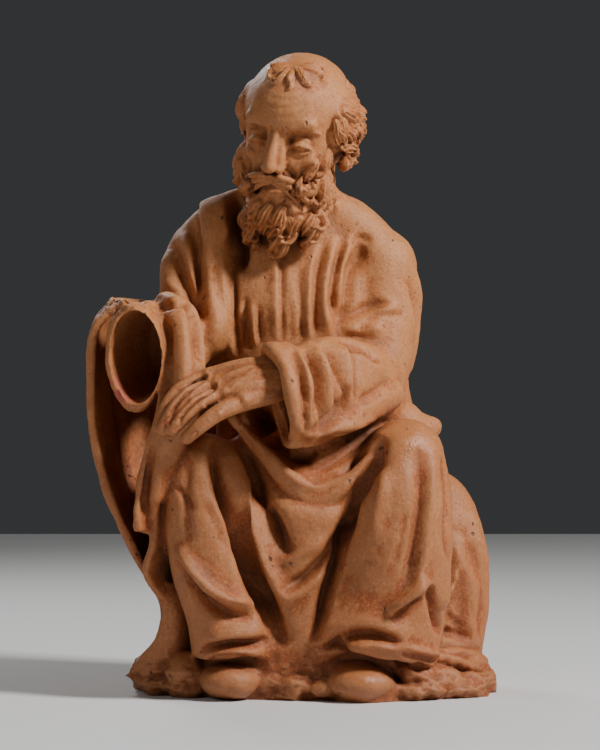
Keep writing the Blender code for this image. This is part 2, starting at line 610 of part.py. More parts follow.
def built_body():
    bm = built_core()
    add_rolls(bm, FRONT_ROLLS)
    add_rolls(bm, [[(*point, CUFF_RADIUS) for point in CUFF_RING]], closed=True)
    for rows in (MANTLE_CURTAIN, MANTLE_LAPPET, SKIRT_SIDE):
        add_sheet(bm, rows, CLOTH_WALL)
    for ball in LOW_FORMS:
        add_ball(bm, ball)
    add_ground(bm)
    bm = remeshed(bm, FORM_VOXEL, 3)
    modelled(bm, TUNIC_FOLDS + MANTLE_FOLDS + SLEEVE_FOLDS + SKIRT_FOLDS)
    for turn, folds in FAR_FOLDS:
        modelled(bm, folds, turn)
    return remeshed(bm, FORM_VOXEL, 1)


def curled_lock(root, down, out, length, radius, bend):
    """A tapering lock that leaves its root and turns into a hook, lying on the head."""
    side = np.cross(down, out)
    points = []
    place = np.array(root, float)
    for t in np.linspace(0, 1, 7):
        heading = bend * (1.1 * math.sin(2.4 * t) + 2.6 * t**2.2 - 0.9)
        lift = radius * 0.8 * math.sin(math.pi * min(1, t + 0.15))
        points.append((*(place + out * lift), radius * (1 - 0.45 * t**1.5)))
        place = place + (down * math.cos(heading) + side * math.sin(heading)) * length / 6
    return points


def ring_of_locks(row, middle, bend):
    """Locks side by side round the head, each other one curling the other way."""
    height, half_width, half_depth, first, last, count, length, radius = row
    locks = []
    for i, angle in enumerate(np.radians(np.linspace(first, last, count))):
        out = np.array([math.sin(angle), -math.cos(angle), 0])
        down = np.array([0.25 * out[0], 0.25 * out[1] - 0.1, -1])
        down /= np.linalg.norm(down)
        root = np.array([half_width * out[0], middle + half_depth * out[1], height + 3 * math.sin(5 * i)])
        locks.append(curled_lock(root, down, out, length * (1 + 0.12 * math.sin(7 * i)), radius, bend * (-1) ** i))
    return locks


def forelock():
    """Locks that spring from the bald front of the head."""
    locks = []
    for i, (x, z, angle, length, radius) in enumerate(FORELOCK):
        y = SKULL[1] - SKULL[4] * math.sqrt(1 - (x / SKULL[3]) ** 2 - ((z - SKULL[2]) / SKULL[5]) ** 2)
        out = Vector((x / SKULL[3] ** 2, (y - SKULL[1]) / SKULL[4] ** 2, (z - SKULL[2]) / SKULL[5] ** 2)).normalized()
        downhill = (Vector((0, 0, -1)) + out * out.z).normalized()
        down = Matrix.Rotation(math.radians(angle), 3, out) @ downhill
        locks.append(curled_lock((x, y, z), np.array(down), np.array(out), length, radius, 0.7 * (-1) ** i))
    return locks


def mirrored(roll):
    return [(-x, *rest) for x, *rest in roll]


def built_head():
    bm = bmesh.new()
    add_ball(bm, SKULL)
    add_loft(bm, FACE)
    add_loft(bm, NECK)
    for ball in SOFT_FACE:
        add_ball(bm, ball)
    bm = remeshed(bm, HEAD_VOXEL, 6)
    modelled(bm, FACE_HOLLOWS, eye=(0, 0))
    for ball in FACE_BALLS:
        add_ball(bm, ball)
    locks = forelock()
    for i, row in enumerate(HAIR_ROWS):
        locks += ring_of_locks(row, 10, 0.8 * (-1) ** i)
    for i, row in enumerate(BEARD_ROWS):
        locks += ring_of_locks(row, -6, 0.9 * (-1) ** i)
    locks += MOUSTACHE + [mirrored(roll) for roll in MOUSTACHE]
    add_rolls(bm, FACE_ROLLS + locks)
    bm = remeshed(bm, HEAD_VOXEL, 1)
    place = (
        Matrix.Translation(Vector(HEAD_CENTRE) * PART)
        @ Matrix.Rotation(math.radians(HEAD_TILT), 4, "Y")
        @ Matrix.Rotation(math.radians(-HEAD_TURN), 4, "Z")
        @ Matrix.Rotation(math.radians(HEAD_BOW), 4, "X")
    )
    bm.transform(place)
    return bm


def built_hand():
    bm = bmesh.new()
    add_rolls(bm, PALM + FINGERS)
    return remeshed(bm, HEAD_VOXEL, 2)


def finished(name, bm, collection):
    mesh = bpy.data.meshes.new(name)
    bm.to_mesh(mesh)
    bm.free()
    obj = bpy.data.objects.new(name, mesh)
    collection.objects.link(obj)
    return obj


def hollow(name, sections, collection):
    bm = bmesh.new()
    add_loft(bm, sections)
    bmesh.ops.recalc_face_normals(bm, faces=bm.faces)
    return finished(name, bm, collection)


def under_ground(collection):
    """Everything below the flat underside."""
    bm = bmesh.new()
    bmesh.ops.create_cube(bm, size=1, matrix=Matrix.Translation((0, 0.05, -0.1)) @ Matrix.Diagonal((1, 1, 0.2, 1)))
    return finished("under_ground", bm, collection)


def thinned(bm, triangles):
    """The same skin in fewer, larger facets."""
    bmesh.ops.triangulate(bm, faces=bm.faces)
    mesh = bpy.data.meshes.new("thinned")
    bm.to_mesh(mesh)
    bm.free()
    obj = bpy.data.objects.new("thinned", mesh)
    thin = obj.modifiers.new("thin", "DECIMATE")
    thin.ratio = triangles / len(mesh.polygons)
    made = bmesh.new()
    add_evaluated(made, obj)
    return made


def boolean(obj, operation, other):
    cut = obj.modifiers.new(other.name, "BOOLEAN")
    cut.operation = operation
    cut.object = other
    cut.solver = "EXACT"
    other.hide_render = True
    other.display_type = "WIRE"


def fired_clay():
    clay = bpy.data.materials.new("fired_clay")
    clay.use_nodes = True
    shader = clay.node_tree.nodes["Principled BSDF"]
    shader.inputs["Base Color"].default_value = CLAY
    shader.inputs["Roughness"].default_value = CLAY_ROUGHNESS
    shader.inputs["Metallic"].default_value = 0
    return clay


def new_collection(name):
    collection = bpy.data.collections.new(name)
    bpy.context.scene.collection.children.link(collection)
    return collection


def main():
    for obj in list(bpy.data.objects):
        bpy.data.objects.remove(obj)
    statue = new_collection("saint_joseph_statue")
    cutters = new_collection("cutters")
    unit_ball()
    body = thinned(built_body(), BODY_TRIANGLES)
    head = thinned(built_head(), HEAD_TRIANGLES)
    hand = thinned(built_hand(), HAND_TRIANGLES)
    saint = finished("saint_joseph_statue", body, statue)
    saint.data.materials.append(fired_clay())
    for name, sections in (("sleeve_hollow", SLEEVE_HOLLOW), ("cuff_hollow", CUFF_HOLLOW)):
        boolean(saint, "DIFFERENCE", hollow(name, sections, cutters))
    boolean(saint, "DIFFERENCE", under_ground(cutters))
    boolean(saint, "UNION", finished("head", head, cutters))
    boolean(saint, "UNION", finished("hand", hand, cutters))


main()
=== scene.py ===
# Seated bearded saint in fired clay, modelled as a potter works: masses, cloth, folds, then head and hand
import math

import bmesh
import bpy
import numpy as np
from mathutils import Matrix, Vector, noise
from mathutils.bvhtree import BVHTree


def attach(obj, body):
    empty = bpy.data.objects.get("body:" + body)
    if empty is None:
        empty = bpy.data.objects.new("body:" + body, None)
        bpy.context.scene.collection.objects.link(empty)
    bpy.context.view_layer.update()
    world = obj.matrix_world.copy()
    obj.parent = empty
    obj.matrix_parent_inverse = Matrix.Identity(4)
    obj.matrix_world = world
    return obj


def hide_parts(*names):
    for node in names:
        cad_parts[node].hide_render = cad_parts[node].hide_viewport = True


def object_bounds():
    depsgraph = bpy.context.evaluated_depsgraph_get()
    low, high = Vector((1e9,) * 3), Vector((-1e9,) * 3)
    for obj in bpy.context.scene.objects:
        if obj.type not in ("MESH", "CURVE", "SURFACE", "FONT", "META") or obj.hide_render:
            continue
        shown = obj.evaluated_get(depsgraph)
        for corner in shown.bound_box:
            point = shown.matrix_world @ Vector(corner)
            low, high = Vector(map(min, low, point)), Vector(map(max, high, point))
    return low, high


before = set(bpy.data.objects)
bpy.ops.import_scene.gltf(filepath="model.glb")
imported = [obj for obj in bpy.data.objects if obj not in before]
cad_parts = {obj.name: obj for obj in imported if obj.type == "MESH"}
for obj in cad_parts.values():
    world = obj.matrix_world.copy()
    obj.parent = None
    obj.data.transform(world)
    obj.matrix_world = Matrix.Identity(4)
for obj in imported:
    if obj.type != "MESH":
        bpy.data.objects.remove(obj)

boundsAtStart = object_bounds()

statue = {
    "height": 0.85,  # ground to crown, metres
    "clothWall": 0.012,  # cloth that stands free
    "viewingDistance": 4.0,  # where a viewer stands to draw the folds
    "coreVoxel": 0.0050,
    "formVoxel": 0.0021,
    "headVoxel": 0.00125,
    "bodyTriangles": 112000,
    "headTriangles": 66000,
    "handTriangles": 14000,
    "shadeReach": 0.07,  # how far round a point the hollows are looked for
    "boxMargin": 0.0004,  # kept free inside the limits of the part
    "pictureSpan": 750,  # parts from the top of the picture to its bottom
    # size of the bumps in parts, then their height everywhere, on the ground and on the broken rim
    "unevenness": [(32, 1.4, 4, 3), (14, 0.6, 1.5, 4), (6, 0.25, 0.8, 3), (3, 0.10, 0.5, 1.5)],
    "chips": [(21, 6), (9, 3)],  # size and depth of the chips in the ground
}
part = statue["height"] / 640  # the figure is laid out on 640 parts to its height
eyeLevel = 318 * part
eyeSide = -8 * part

# Lofts: centre X, Y, Z, then half width and half depth
torso = [
    (0, 60, 100, 126, 80),
    (0, 58, 175, 114, 76),
    (-4, 48, 240, 92, 62),
    (-10, 38, 310, 86, 56),
    (-16, 32, 380, 92, 56),
    (-16, 36, 430, 92, 50),
    (-14, 36, 466, 72, 42),
    (-12, 26, 497, 44, 36),
    (-10, 8, 530, 34, 34),
]
backMantle = [
    (-10, 66, 478, 70, 26),
    (-12, 84, 420, 100, 34),
    (-12, 94, 340, 112, 38),
    (-6, 104, 240, 124, 40),
    (4, 108, 140, 138, 42),
    (6, 108, 10, 146, 44),
]
seat = [
    (24, 70, -10, 156, 76),
    (24, 70, 40, 157, 76),
    (24, 70, 100, 163, 74),
    (24, 72, 145, 160, 70),
    (22, 74, 168, 148, 62),
    (18, 76, 182, 118, 44),
]
leftLeg = [
    (94, -66, 240, 40, 38),
    (94, -72, 205, 46, 44),
    (92, -72, 150, 50, 44),
    (82, -66, 95, 54, 42),
    (68, -62, 50, 60, 42),
]
rightLeg = [
    (-102, -60, 232, 36, 34),
    (-101, -66, 200, 41, 40),
    (-95, -64, 140, 42, 40),
    (-80, -58, 84, 40, 38),
    (-74, -52, 46, 42, 38),
]
betweenLegs = [
    (-4, -16, -10, 96, 50),
    (-4, -18, 40, 94, 54),
    (-4, -20, 90, 90, 64),
    (-2, -20, 150, 92, 72),
    (2, -22, 192, 90, 76),
    (4, -24, 206, 84, 66),
]
underHems = [
    (-4, -16, -10, 112, 54),
    (-4, -14, 30, 112, 54),
    (-2, -10, 64, 106, 50),
]
forearmSleeve = [
    (64, 14, 306, 38, 38),
    (44, -30, 308, 36, 46),
    (20, -66, 306, 34, 50),
    (0, -92, 298, 31, 51),
    (-16, -108, 295, 28, 48),
]
hangingArmSleeve = [
    (-132, -8, 350, 38, 44),
    (-150, -45, 344, 32, 50),
    (-166, -78, 337, 29, 54),
    (-173, -96, 334, 28, 56),
]
sleeveHollow = [
    (-142, -20, 345, 16, 30),
    (-156, -48, 341, 21.5, 39),
    (-166, -84, 336, 25, 44.5),
    (-171, -130, 333, 28, 49),
]
cuffHollow = [
    (8, -94, 294, 12, 26),
    (-12, -103, 293, 16, 34),
    (-34, -114, 291, 17, 37),
    (-60, -126, 289, 18, 38),
]

# Round rolls: X, Y, Z, radius
coreRolls = [
    [(6, 30, 488, 26), (48, 34, 462, 30), (72, 36, 430, 36)],
    [(-40, 30, 496, 22), (-90, 34, 466, 30), (-108, 36, 434, 38)],
    [(73, 36, 430, 37), (74, 34, 396, 38), (71, 26, 350, 39), (60, 8, 308, 38)],
    [(-108, 36, 436, 37), (-114, 28, 400, 37), (-118, 10, 366, 38), (-130, -14, 350, 36)],
    [(50, 60, 190, 50), (74, 0, 212, 46), (94, -66, 234, 42)],
    [(-50, 60, 190, 48), (-78, 0, 206, 44), (-102, -60, 224, 38)],
    [(84, 22, 270, 28), (110, 26, 262, 24), (126, 28, 266, 12)],
]
frontRolls = [
    # the mantle's roll over the forearm, falling beside the knee
    [(-140, -30, 384, 16), (-128, -58, 372, 22), (-121, -78, 335, 22), (-124, -86, 290, 21),
     (-138, -84, 250, 18), (-148, -78, 205, 12)],
    # the lap's front edge, hung between the knees
    [(-74, -76, 276, 6), (-46, -82, 243, 7), (-18, -84, 213, 9), (10, -82, 198, 11),
     (40, -84, 212, 10), (66, -84, 238, 9), (82, -84, 252, 8)],
    # the sleeve's lower edge
    [(4, -104, 265, 12), (30, -84, 273, 15), (56, -50, 283, 16), (80, -14, 300, 16)],
    # the mantle's collar round the neck
    [(-46, 4, 496, 10), (-54, 30, 508, 13), (-36, 56, 514, 15), (-10, 66, 514, 15),
     (16, 54, 506, 12), (28, 30, 494, 9), (26, 8, 488, 7)],
    # the mantle's end beside the right foot
    [(-138, -34, 112, 9), (-130, -30, 88, 9), (-134, -26, 60, 9), (-150, -14, 34, 10), (-166, 0, 16, 10)],
    # cloth lying over the ground beside the left foot
    [(100, -70, 26, 10), (128, -58, 20, 10), (158, -34, 15, 9), (176, -20, 14, 8)],
    [(98, -60, 32, 15), (118, -44, 32, 17), (150, -12, 32, 16), (170, 20, 28, 12)],
]
cuffRing = [
    (-38, -104, 343), (-23, -128, 328), (-16, -137, 297), (-11, -132, 266),
    (-16, -112, 255), (-22, -88, 264), (-30, -78, 295), (-37, -84, 328),
]
cuffRadius = 8
cuffRounds = [(0, 0), (7, 3), (15, 8)]  # where each round of the cuff lies behind the first, X and Y

# Sheets of cloth: rows of X, Y, Z from the front edge backwards
mantleCurtain = [
    [(-172, -84, 392), (-190, -50, 394), (-182, 0, 394), (-140, 50, 392)],
    [(-206, -76, 366), (-208, -34, 368), (-194, 16, 366), (-140, 70, 366)],
    [(-213, -70, 320), (-211, -26, 320), (-192, 26, 318), (-136, 84, 316)],
    [(-211, -66, 262), (-204, -24, 260), (-184, 30, 256), (-128, 92, 250)],
    [(-196, -62, 200), (-188, -20, 198), (-168, 32, 194), (-120, 92, 190)],
    [(-168, -56, 140), (-164, -20, 136), (-148, 30, 130), (-110, 90, 124)],
    [(-140, -44, 90), (-142, -14, 86), (-132, 30, 82), (-104, 86, 80)],
    [(-148, -34, 52), (-148, -8, 50), (-136, 30, 48), (-104, 84, 46)],
]
mantleLappet = [
    [(-140, -88, 350), (-126, -60, 346), (-116, -20, 340)],
    [(-143, -96, 290), (-130, -62, 288), (-118, -20, 284)],
    [(-156, -96, 245), (-144, -60, 240), (-128, -16, 236)],
    [(-165, -92, 205), (-153, -58, 200), (-138, -14, 196)],
    [(-167, -88, 166), (-156, -56, 162), (-142, -12, 160)],
]
skirtSide = [
    [(-147, -92, 262), (-134, -60, 256), (-120, -10, 250)],
    [(-152, -84, 220), (-136, -50, 216), (-124, 0, 212)],
    [(-152, -76, 160), (-134, -40, 158), (-122, 6, 154)],
    [(-160, -66, 124), (-138, -34, 122), (-124, 10, 118)],
    [(-142, -44, 92), (-130, -24, 90), (-120, 12, 88)],
]

# Balls: centre X, Y, Z, then half sizes
lowForms = [
    (-76, -58, 19, 30, 34, 19),  # right shoe
    (-66, -40, 34, 36, 26, 20),
    (52, -74, 18, 33, 34, 19),  # left shoe
    (50, -52, 32, 44, 26, 18),
    (-120, -36, 24, 20, 26, 22),  # hem against the ground
    (-152, 22, 18, 26, 38, 22),  # rock at the right foot
]
groundOutline = [
    (-178, 62), (-168, 28), (-120, -6), (-62, -40), (7, -64), (50, -94), (93, -78),
    (140, -52), (178, -24), (182, 40), (168, 116), (96, 148), (-60, 150), (-150, 118),
]
groundTop = 16
groundBottom = -12  # cut level with the floor later

# The hand on the right knee: rolls of X, Y, Z, radius
palm = [
    [(20, -84, 312, 15), (-14, -100, 322, 15), (-36, -102, 324, 13), (-64, -102, 322, 12), (-98, -100, 316, 9)],
    [(20, -88, 308, 16), (-14, -104, 318, 16), (-36, -108, 316, 14), (-62, -110, 313, 13), (-92, -110, 308, 10)],
    [(20, -90, 304, 15), (-14, -108, 314, 15), (-34, -112, 308, 14), (-58, -117, 305, 13), (-84, -120, 300, 10)],
    [(-20, -106, 308, 12), (-36, -114, 302, 12), (-62, -124, 294, 11)],
]
fingers = [
    [(-98, -100, 316, 8), (-118, -106, 308, 7.5), (-134, -112, 292, 7), (-144, -112, 268, 6)],
    [(-92, -110, 308, 8.5), (-112, -120, 300, 8), (-128, -126, 286, 7.5), (-140, -124, 266, 6.5)],
    [(-84, -120, 300, 8.5), (-104, -130, 291, 8), (-118, -134, 279, 7.5), (-130, -132, 266, 6.5)],
    [(-62, -124, 292, 9), (-84, -134, 283, 8.5), (-102, -138, 270, 7.5), (-116, -134, 258, 6.5)],
]


def mirrored(points):
    return [(-x, *rest) for x, *rest in points]


def onBothSides(rolls):
    return rolls + [mirrored(roll) for roll in rolls]


# The head, in its own frame: its middle is the origin, the face looks along -Y and the crown is up
headCentre = (-13, -22, 560)
headTurn = 20  # towards the figure's right, degrees
headBow = 24
headTilt = 11  # the crown leans towards the figure's left
skull = (0, 10, 23, 53, 62, 53)
face = [
    (0, -2, 46, 42, 38),
    (0, -6, 22, 46, 43),
    (0, -8, -6, 46, 41),
    (0, -11, -30, 42, 41),
    (0, -16, -54, 32, 36),
    (0, -22, -72, 19, 22),
]
neck = [(0, 30, -20, 32, 34), (-2, 40, -60, 28, 34), (-4, 50, -96, 28, 34)]
softFace = [  # balls blended into the head before the features
    (0, -28, -74, 36, 28, 24),
    (0, -36, -46, 20, 16, 14),
    (0, 22, 0, 55, 56, 46),
]
cheeks = [(30, -35, -16, 12, 9, 9), (34, -10, -50, 13, 25, 30), (22, -38, 22, 17, 9, 8)]
softFace += cheeks + mirrored(cheeks)
faceRolls = [
    [(0, -45, 16, 4.5), (0, -52, 4, 4.5), (0, -60, -10, 5.5), (0, -63, -19, 6.5)],
    [(-12, -47, -48, 3), (0, -51, -50, 4.2), (12, -47, -48, 3)],
] + onBothSides([
    [(39, -31, 12, 2), (25, -42, 18.5, 3), (9, -46, 17, 2.4)],
    [(5, -46, 8, 4), (6, -50, -6, 5), (7, -53, -18, 5.5)],
    [(13, -39, -2, 1.8), (17, -44, 1, 1.8), (22, -46, 1.5, 1.8), (28, -43, 0.5, 1.8), (33, -38, -3, 1.6)],
    [(13, -39, -3, 1.5), (18, -42, -7, 1.7), (23, -43, -8, 1.8), (28, -41, -7, 1.7), (33, -37, -4, 1.5)],
    [(50, 2, 2, 2.5), (55, 4, 10, 3), (58, 12, 12, 3), (58, 19, 6, 3), (55, 16, -8, 3), (52, 8, -16, 3.5)],
])
faceBalls = [  # nostril, eye, lid and ear of one side
    (7.5, -55, -22, 5, 6.5, 4.8),
    (22.5, -36.5, -2, 8.6, 8.2, 8.2),
    (22.5, -36, 2, 9.8, 8.6, 8),
    (53, 12, -2, 4, 9, 13),
    (53, 9, -9, 5, 10, 15),
]

# Strokes on the picture plane: half width, height (below zero it sinks) and points of X and Z.
# A stroke called an edge rises only on the left hand of its direction.
faceHollows = [  # of one side
    (10, -9, [(34, 4), (22, 5), (11, 4)]),
    (5, -3, [(13, -22), (20, -34), (24, -46)]),
]
tunicFolds = [
    (4, 4, [(-31, 443), (-31, 403), (-30, 350)]),
    (3, -7, [(-26.5, 449), (-27, 403), (-26, 346)]),
    (3.5, 4, [(-57, 393), (-55, 373), (-52, 345)]),
    (3.5, -6, [(-62, 398), (-61, 373), (-58, 343)]),
    (3, -5, [(-50, 388), (-49, 368), (-48, 345)]),
    (3.5, 4, [(-71, 393), (-68, 348)]),
    (3, -4, [(-66, 380), (-64, 345)]),
    (3.5, -3, [(-19, 400), (-17, 372), (-17, 346)]),
    (4, -4, [(-8, 425), (-8, 395), (-6, 348)]),
    (4, 4, [(10, 453), (3, 425), (2, 393), (0, 346)]),
    (3.5, -6, [(17, 453), (9, 423), (7, 393), (7, 346)]),
    (5, 6, [(29, 457), (20, 425), (16, 393), (20, 368), (24, 352)]),
    (4, -8, [(34, 453), (27, 423), (24, 398), (28, 372)]),
    (5, 7, [(46, 461), (35, 431), (32, 403), (35, 385)]),
    (8, -10, [(56, 448), (46, 430), (40, 408), (36, 383), (26, 357)]),
    (3, -5, [(64, 452), (52, 456), (42, 448)]),
    (8, -22, [(-70, 506), (-68, 462), (-68, 420)]),
    (3.5, -8, [(-75, 440), (-73, 390), (-69, 338)]),
]
mantleFolds = [
    (22, 11, [(-73, 334), (-77, 393), (-80, 433), (-83, 500)], "edge"),
    (16, 10, [(-106, 500), (-105, 413), (-102, 373), (-97, 333)], "edge"),
    (3.5, -9, [(-109, 490), (-108, 413), (-105, 373), (-100, 333)]),
    (7, -15, [(-119, 410), (-110, 372), (-104, 330)]),
    (6, -8, [(-136, 452), (-128, 423), (-119, 398), (-110, 374)]),
    (8, 6, [(-142, 443), (-138, 413), (-130, 396)]),
    (6, 6, [(-123, 462), (-116, 423), (-110, 388)]),
    (4, -6, [(-118, 478), (-113, 440), (-108, 400)]),
    (4, -8, [(-158, 396), (-143, 390), (-128, 391), (-116, 394)]),
    (4, -9, [(-150, 388), (-142, 368), (-139, 343), (-140, 308), (-148, 278)]),
    (6, 4, [(-128, 384), (-122, 340), (-126, 296), (-138, 262)]),
    (3, -3, [(-118, 372), (-112, 330), (-116, 296)]),
    (7, 4, [(-204, 350), (-203, 290), (-190, 220), (-168, 160)]),
    (6, -4, [(-192, 330), (-190, 270), (-178, 215), (-162, 165)]),
    (4, -5, [(-158, 250), (-160, 215), (-164, 180)]),
    (5, 4, [(-148, 240), (-152, 205), (-156, 172)]),
]
sleeveFolds = [
    (5, -16, [(30, 353), (44, 349), (58, 341), (71, 330)]),
    (6, 7, [(28, 361), (47, 368), (72, 378), (92, 386)]),
    (5, -5, [(34, 372), (54, 384), (80, 392)]),
    (6, 8, [(37, 356), (54, 359), (77, 366)]),
    (4, -6, [(56, 372), (76, 378), (96, 380)]),
    (5, 5, [(44, 340), (60, 332), (76, 318)]),
    (3.5, -8, [(38, 349), (44, 330), (46, 305), (45, 279)]),
    (5, 7, [(30, 351), (38, 331), (41, 303), (40, 277)]),
    (4, -9, [(14, 350), (24, 333), (30, 308), (30, 284)]),
    (5, 7, [(4, 347), (14, 330), (20, 305), (19, 272)]),
    (4, -8, [(-5, 345), (4, 328), (9, 305), (8, 268)]),
    (4, 5, [(-12, 344), (-3, 322), (2, 298), (1, 262)]),
    (5, -12, [(39, 307), (30, 285), (16, 268), (3, 256)]),
    (4, -10, [(-17, 345), (-8, 325), (-3, 295), (-1, 256)]),
    (5, 6, [(4, 257), (27, 264), (52, 269), (77, 281)]),
    (5, -8, [(8, 249), (30, 255), (56, 262), (84, 276)]),
    (5, -5, [(50, 292), (66, 300), (84, 314)]),
    (6, 4, [(46, 282), (66, 289), (88, 302)]),
]
skirtFolds = [
    (9, -16, [(-72, 266), (-56, 214), (-37, 174), (-17, 134)]),
    (4, -5, [(-44, 190), (-30, 160), (-18, 138)]),
    (9, -26, [(-95, 256), (-86, 212), (-74, 177), (-63, 142), (-49, 107), (-32, 68), (-26, 46)]),
    (8, 13, [(-76, 262), (-64, 220), (-55, 177), (-39, 124), (-18, 82)]),
    (10, -12, [(74, 258), (62, 222), (46, 180), (34, 142)]),
    (6, -22, [(50, 190), (33, 142), (18, 96), (7, 52)]),
    (24, 10, [(66, 228), (47, 178), (31, 132), (17, 90), (8, 46)], "edge"),
    (6, -12, [(-28, 102), (-7, 114), (18, 138), (37, 168)]),
    (6, 6, [(-26, 92), (-4, 104), (18, 124)]),
    (6, 12, [(-130, 146), (-109, 117), (-86, 97), (-52, 88)]),
    (7, -12, [(-132, 134), (-112, 102), (-86, 82), (-54, 74)]),
    (3, -5, [(-133, 210), (-124, 196), (-114, 182)]),
    (7, 3, [(-98, 200), (-83, 170), (-64, 140)]),
    (6, -2, [(-105, 196), (-91, 165), (-74, 136)]),
    (5, -4, [(-118, 240), (-122, 200), (-120, 150)]),
    (12, 6, [(-68, 270), (-44, 242), (-18, 214), (9, 202), (32, 214), (55, 238), (76, 262)], "edge"),
    (12, -22, [(-60, 284), (-40, 264), (-16, 246), (8, 238)]),
    (7, -6, [(-2, 226), (18, 228), (44, 246), (66, 268)]),
    (5, 5, [(-30, 132), (-6, 140), (16, 156)]),
    (14, 7, [(-106, 50), (-77, 55), (-38, 58)], "edge"),
    (4, -11, [(-108, 44), (-77, 49), (-38, 52)]),
    (3.5, 6, [(-106, 34), (-96, 40), (-70, 42), (-44, 38), (-36, 28)]),
    (3, -7, [(-101, 26), (-92, 34), (-70, 36), (-50, 33)]),
    (14, 6, [(12, 48), (30, 60), (53, 66), (80, 62), (100, 50)], "edge"),
    (5, -10, [(16, 44), (34, 55), (60, 59), (90, 52)]),
    (4, 8, [(8, 40), (36, 46), (67, 48), (96, 42)]),
    (3, 6, [(14, 33), (38, 41), (64, 41), (82, 32), (94, 15)]),
    (3, -7, [(20, 26), (38, 35), (62, 35), (78, 27), (88, 14)]),
    (10, -8, [(112, 247), (113, 193), (104, 133), (92, 98)]),
    (6, 5, [(124, 250), (122, 203), (112, 124), (95, 82)]),
    (6, 12, [(120, 116), (100, 97), (80, 80)]),
    (5, -10, [(114, 98), (98, 84), (84, 72)]),
    (5, -10, [(122, 108), (126, 84), (131, 62)]),
    (5, -6, [(136, 245), (141, 193), (140, 153), (147, 124)]),
    (6, 5, [(151, 126), (143, 104), (134, 82)]),
    (5, -4, [(146, 100), (140, 82), (150, 70), (162, 66)]),
    (5, 4, [(78, 226), (74, 190), (66, 150)]),
    (4, -3, [(98, 190), (92, 150), (80, 118)]),
    (5, 5, [(144, 163), (151, 136), (163, 104), (165, 40)]),
    (6, -4, [(152, 168), (164, 140), (172, 104), (171, 50)]),
    (6, -8, [(126, 66), (142, 60), (164, 56)]),
    (5, -8, [(128, 42), (150, 40), (166, 38)]),
    (4, 6, [(88, 48), (112, 42), (141, 36), (176, 20)]),
    (3, -6, [(90, 41), (116, 35), (142, 28), (170, 13)]),
    (3.5, 5, [(92, 28), (112, 18), (132, 9)]),
]
# The sides that the first view doesn't show, by the angle that brings each to the front
farFolds = [
    (180, [
        (8, -10, [(-66, 440), (-72, 340), (-88, 220), (-96, 50)]),
        (9, 7, [(-40, 452), (-44, 340), (-56, 200), (-60, 30)]),
        (8, -11, [(-14, 455), (-14, 330), (-20, 190), (-14, 30)]),
        (9, 7, [(14, 455), (18, 330), (22, 180), (32, 30)]),
        (8, -11, [(40, 448), (52, 330), (62, 190), (78, 30)]),
        (9, 7, [(64, 436), (82, 320), (100, 180), (116, 40)]),
        (7, -8, [(82, 420), (104, 310), (124, 180), (138, 60)]),
    ]),
    (-90, [
        (10, -4, [(26, 166), (22, 110), (34, 30)]),
        (12, 4, [(52, 176), (50, 100), (62, 24)]),
        (10, -7, [(78, 176), (80, 110), (92, 24)]),
        (6, -7, [(10, 420), (26, 370), (20, 310)]),
        (6, 5, [(24, 430), (40, 370), (34, 300)]),
    ]),
    (90, [
        (9, -3, [(30, 380), (26, 300), (14, 200), (0, 120)]),
        (9, 4, [(6, 384), (0, 300), (-14, 200), (-24, 110)]),
        (9, -3, [(-24, 380), (-34, 300), (-46, 200), (-56, 100)]),
    ]),
]

lapFill = [(6, -24, 176, 84, 70), (8, -22, 210, 76, 62), (22, -16, 236, 56, 48), (36, -6, 262, 42, 36)]
lapRolls = [  # cloth drawn from both knees down to the middle
    [(-60, -48, 250, 14), (-38, -54, 206, 20), (-22, -58, 168, 24), (-8, -56, 120, 23)],
    [(76, -58, 236, 20), (50, -60, 196, 22), (28, -60, 158, 23), (10, -56, 112, 21)],
]
mantleEnd = [  # the mantle's end beside the right foot, rows of X, Y, Z
    [(-147, -44, 118), (-134, -42, 114), (-122, -30, 110)],
    [(-143, -44, 86), (-128, -42, 82), (-114, -28, 80)],
    [(-151, -38, 58), (-134, -38, 52), (-118, -24, 50)],
    [(-170, -24, 36), (-150, -30, 26), (-130, -18, 24)],
    [(-184, -8, 18), (-162, -18, 8), (-140, -12, 4)],
]
groundLumps = [  # centre X, Y, Z, then half sizes
    (-36, -50, 17, 26, 22, 15), (-8, -58, 15, 24, 22, 13), (18, -66, 13, 20, 20, 12),
    (104, -58, 10, 30, 26, 12), (142, -34, 9, 34, 26, 12), (-140, -12, 12, 30, 24, 14),
    (172, 10, 10, 16, 30, 12), (-118, -34, 10, 26, 20, 12),
]
polished = [(-76, -66, 20, 30, 30, 20), (52, -84, 20, 34, 30, 20)]  # the toes, worn smooth
brokenRim = (-174, -70, 386, 34, 46, 12)  # the top of the empty sleeve


def smoothThrough(points, steps):  # a curve through the points, with steps to each span
    points = np.asarray(points, float)
    ends = np.vstack([2 * points[0] - points[1], points, 2 * points[-1] - points[-2]])
    t = np.linspace(0, 1, steps, endpoint=False)[:, None]
    spans = []
    for a, b, c, d in zip(ends, ends[1:], ends[2:], ends[3:]):
        spans.append(0.5 * (2 * b + (c - a) * t + (2 * a - 5 * b + 4 * c - d) * t**2
                            + (3 * b - a - 3 * c + d) * t**3))
    return np.vstack([*spans, points[-1:]])


def newObject(name, data):
    obj = bpy.data.objects.new(name, data)
    bpy.context.scene.collection.objects.link(obj)
    return obj


def objectFrom(name, bm):
    mesh = bpy.data.meshes.new(name)
    bm.to_mesh(mesh)
    bm.free()
    return newObject(name, mesh)


def select(obj):
    bpy.ops.object.select_all(action="DESELECT")
    obj.select_set(True)
    bpy.context.view_layer.objects.active = obj


def applyModifiers(obj):
    select(obj)
    for modifier in list(obj.modifiers):
        bpy.ops.object.modifier_apply(modifier=modifier.name)


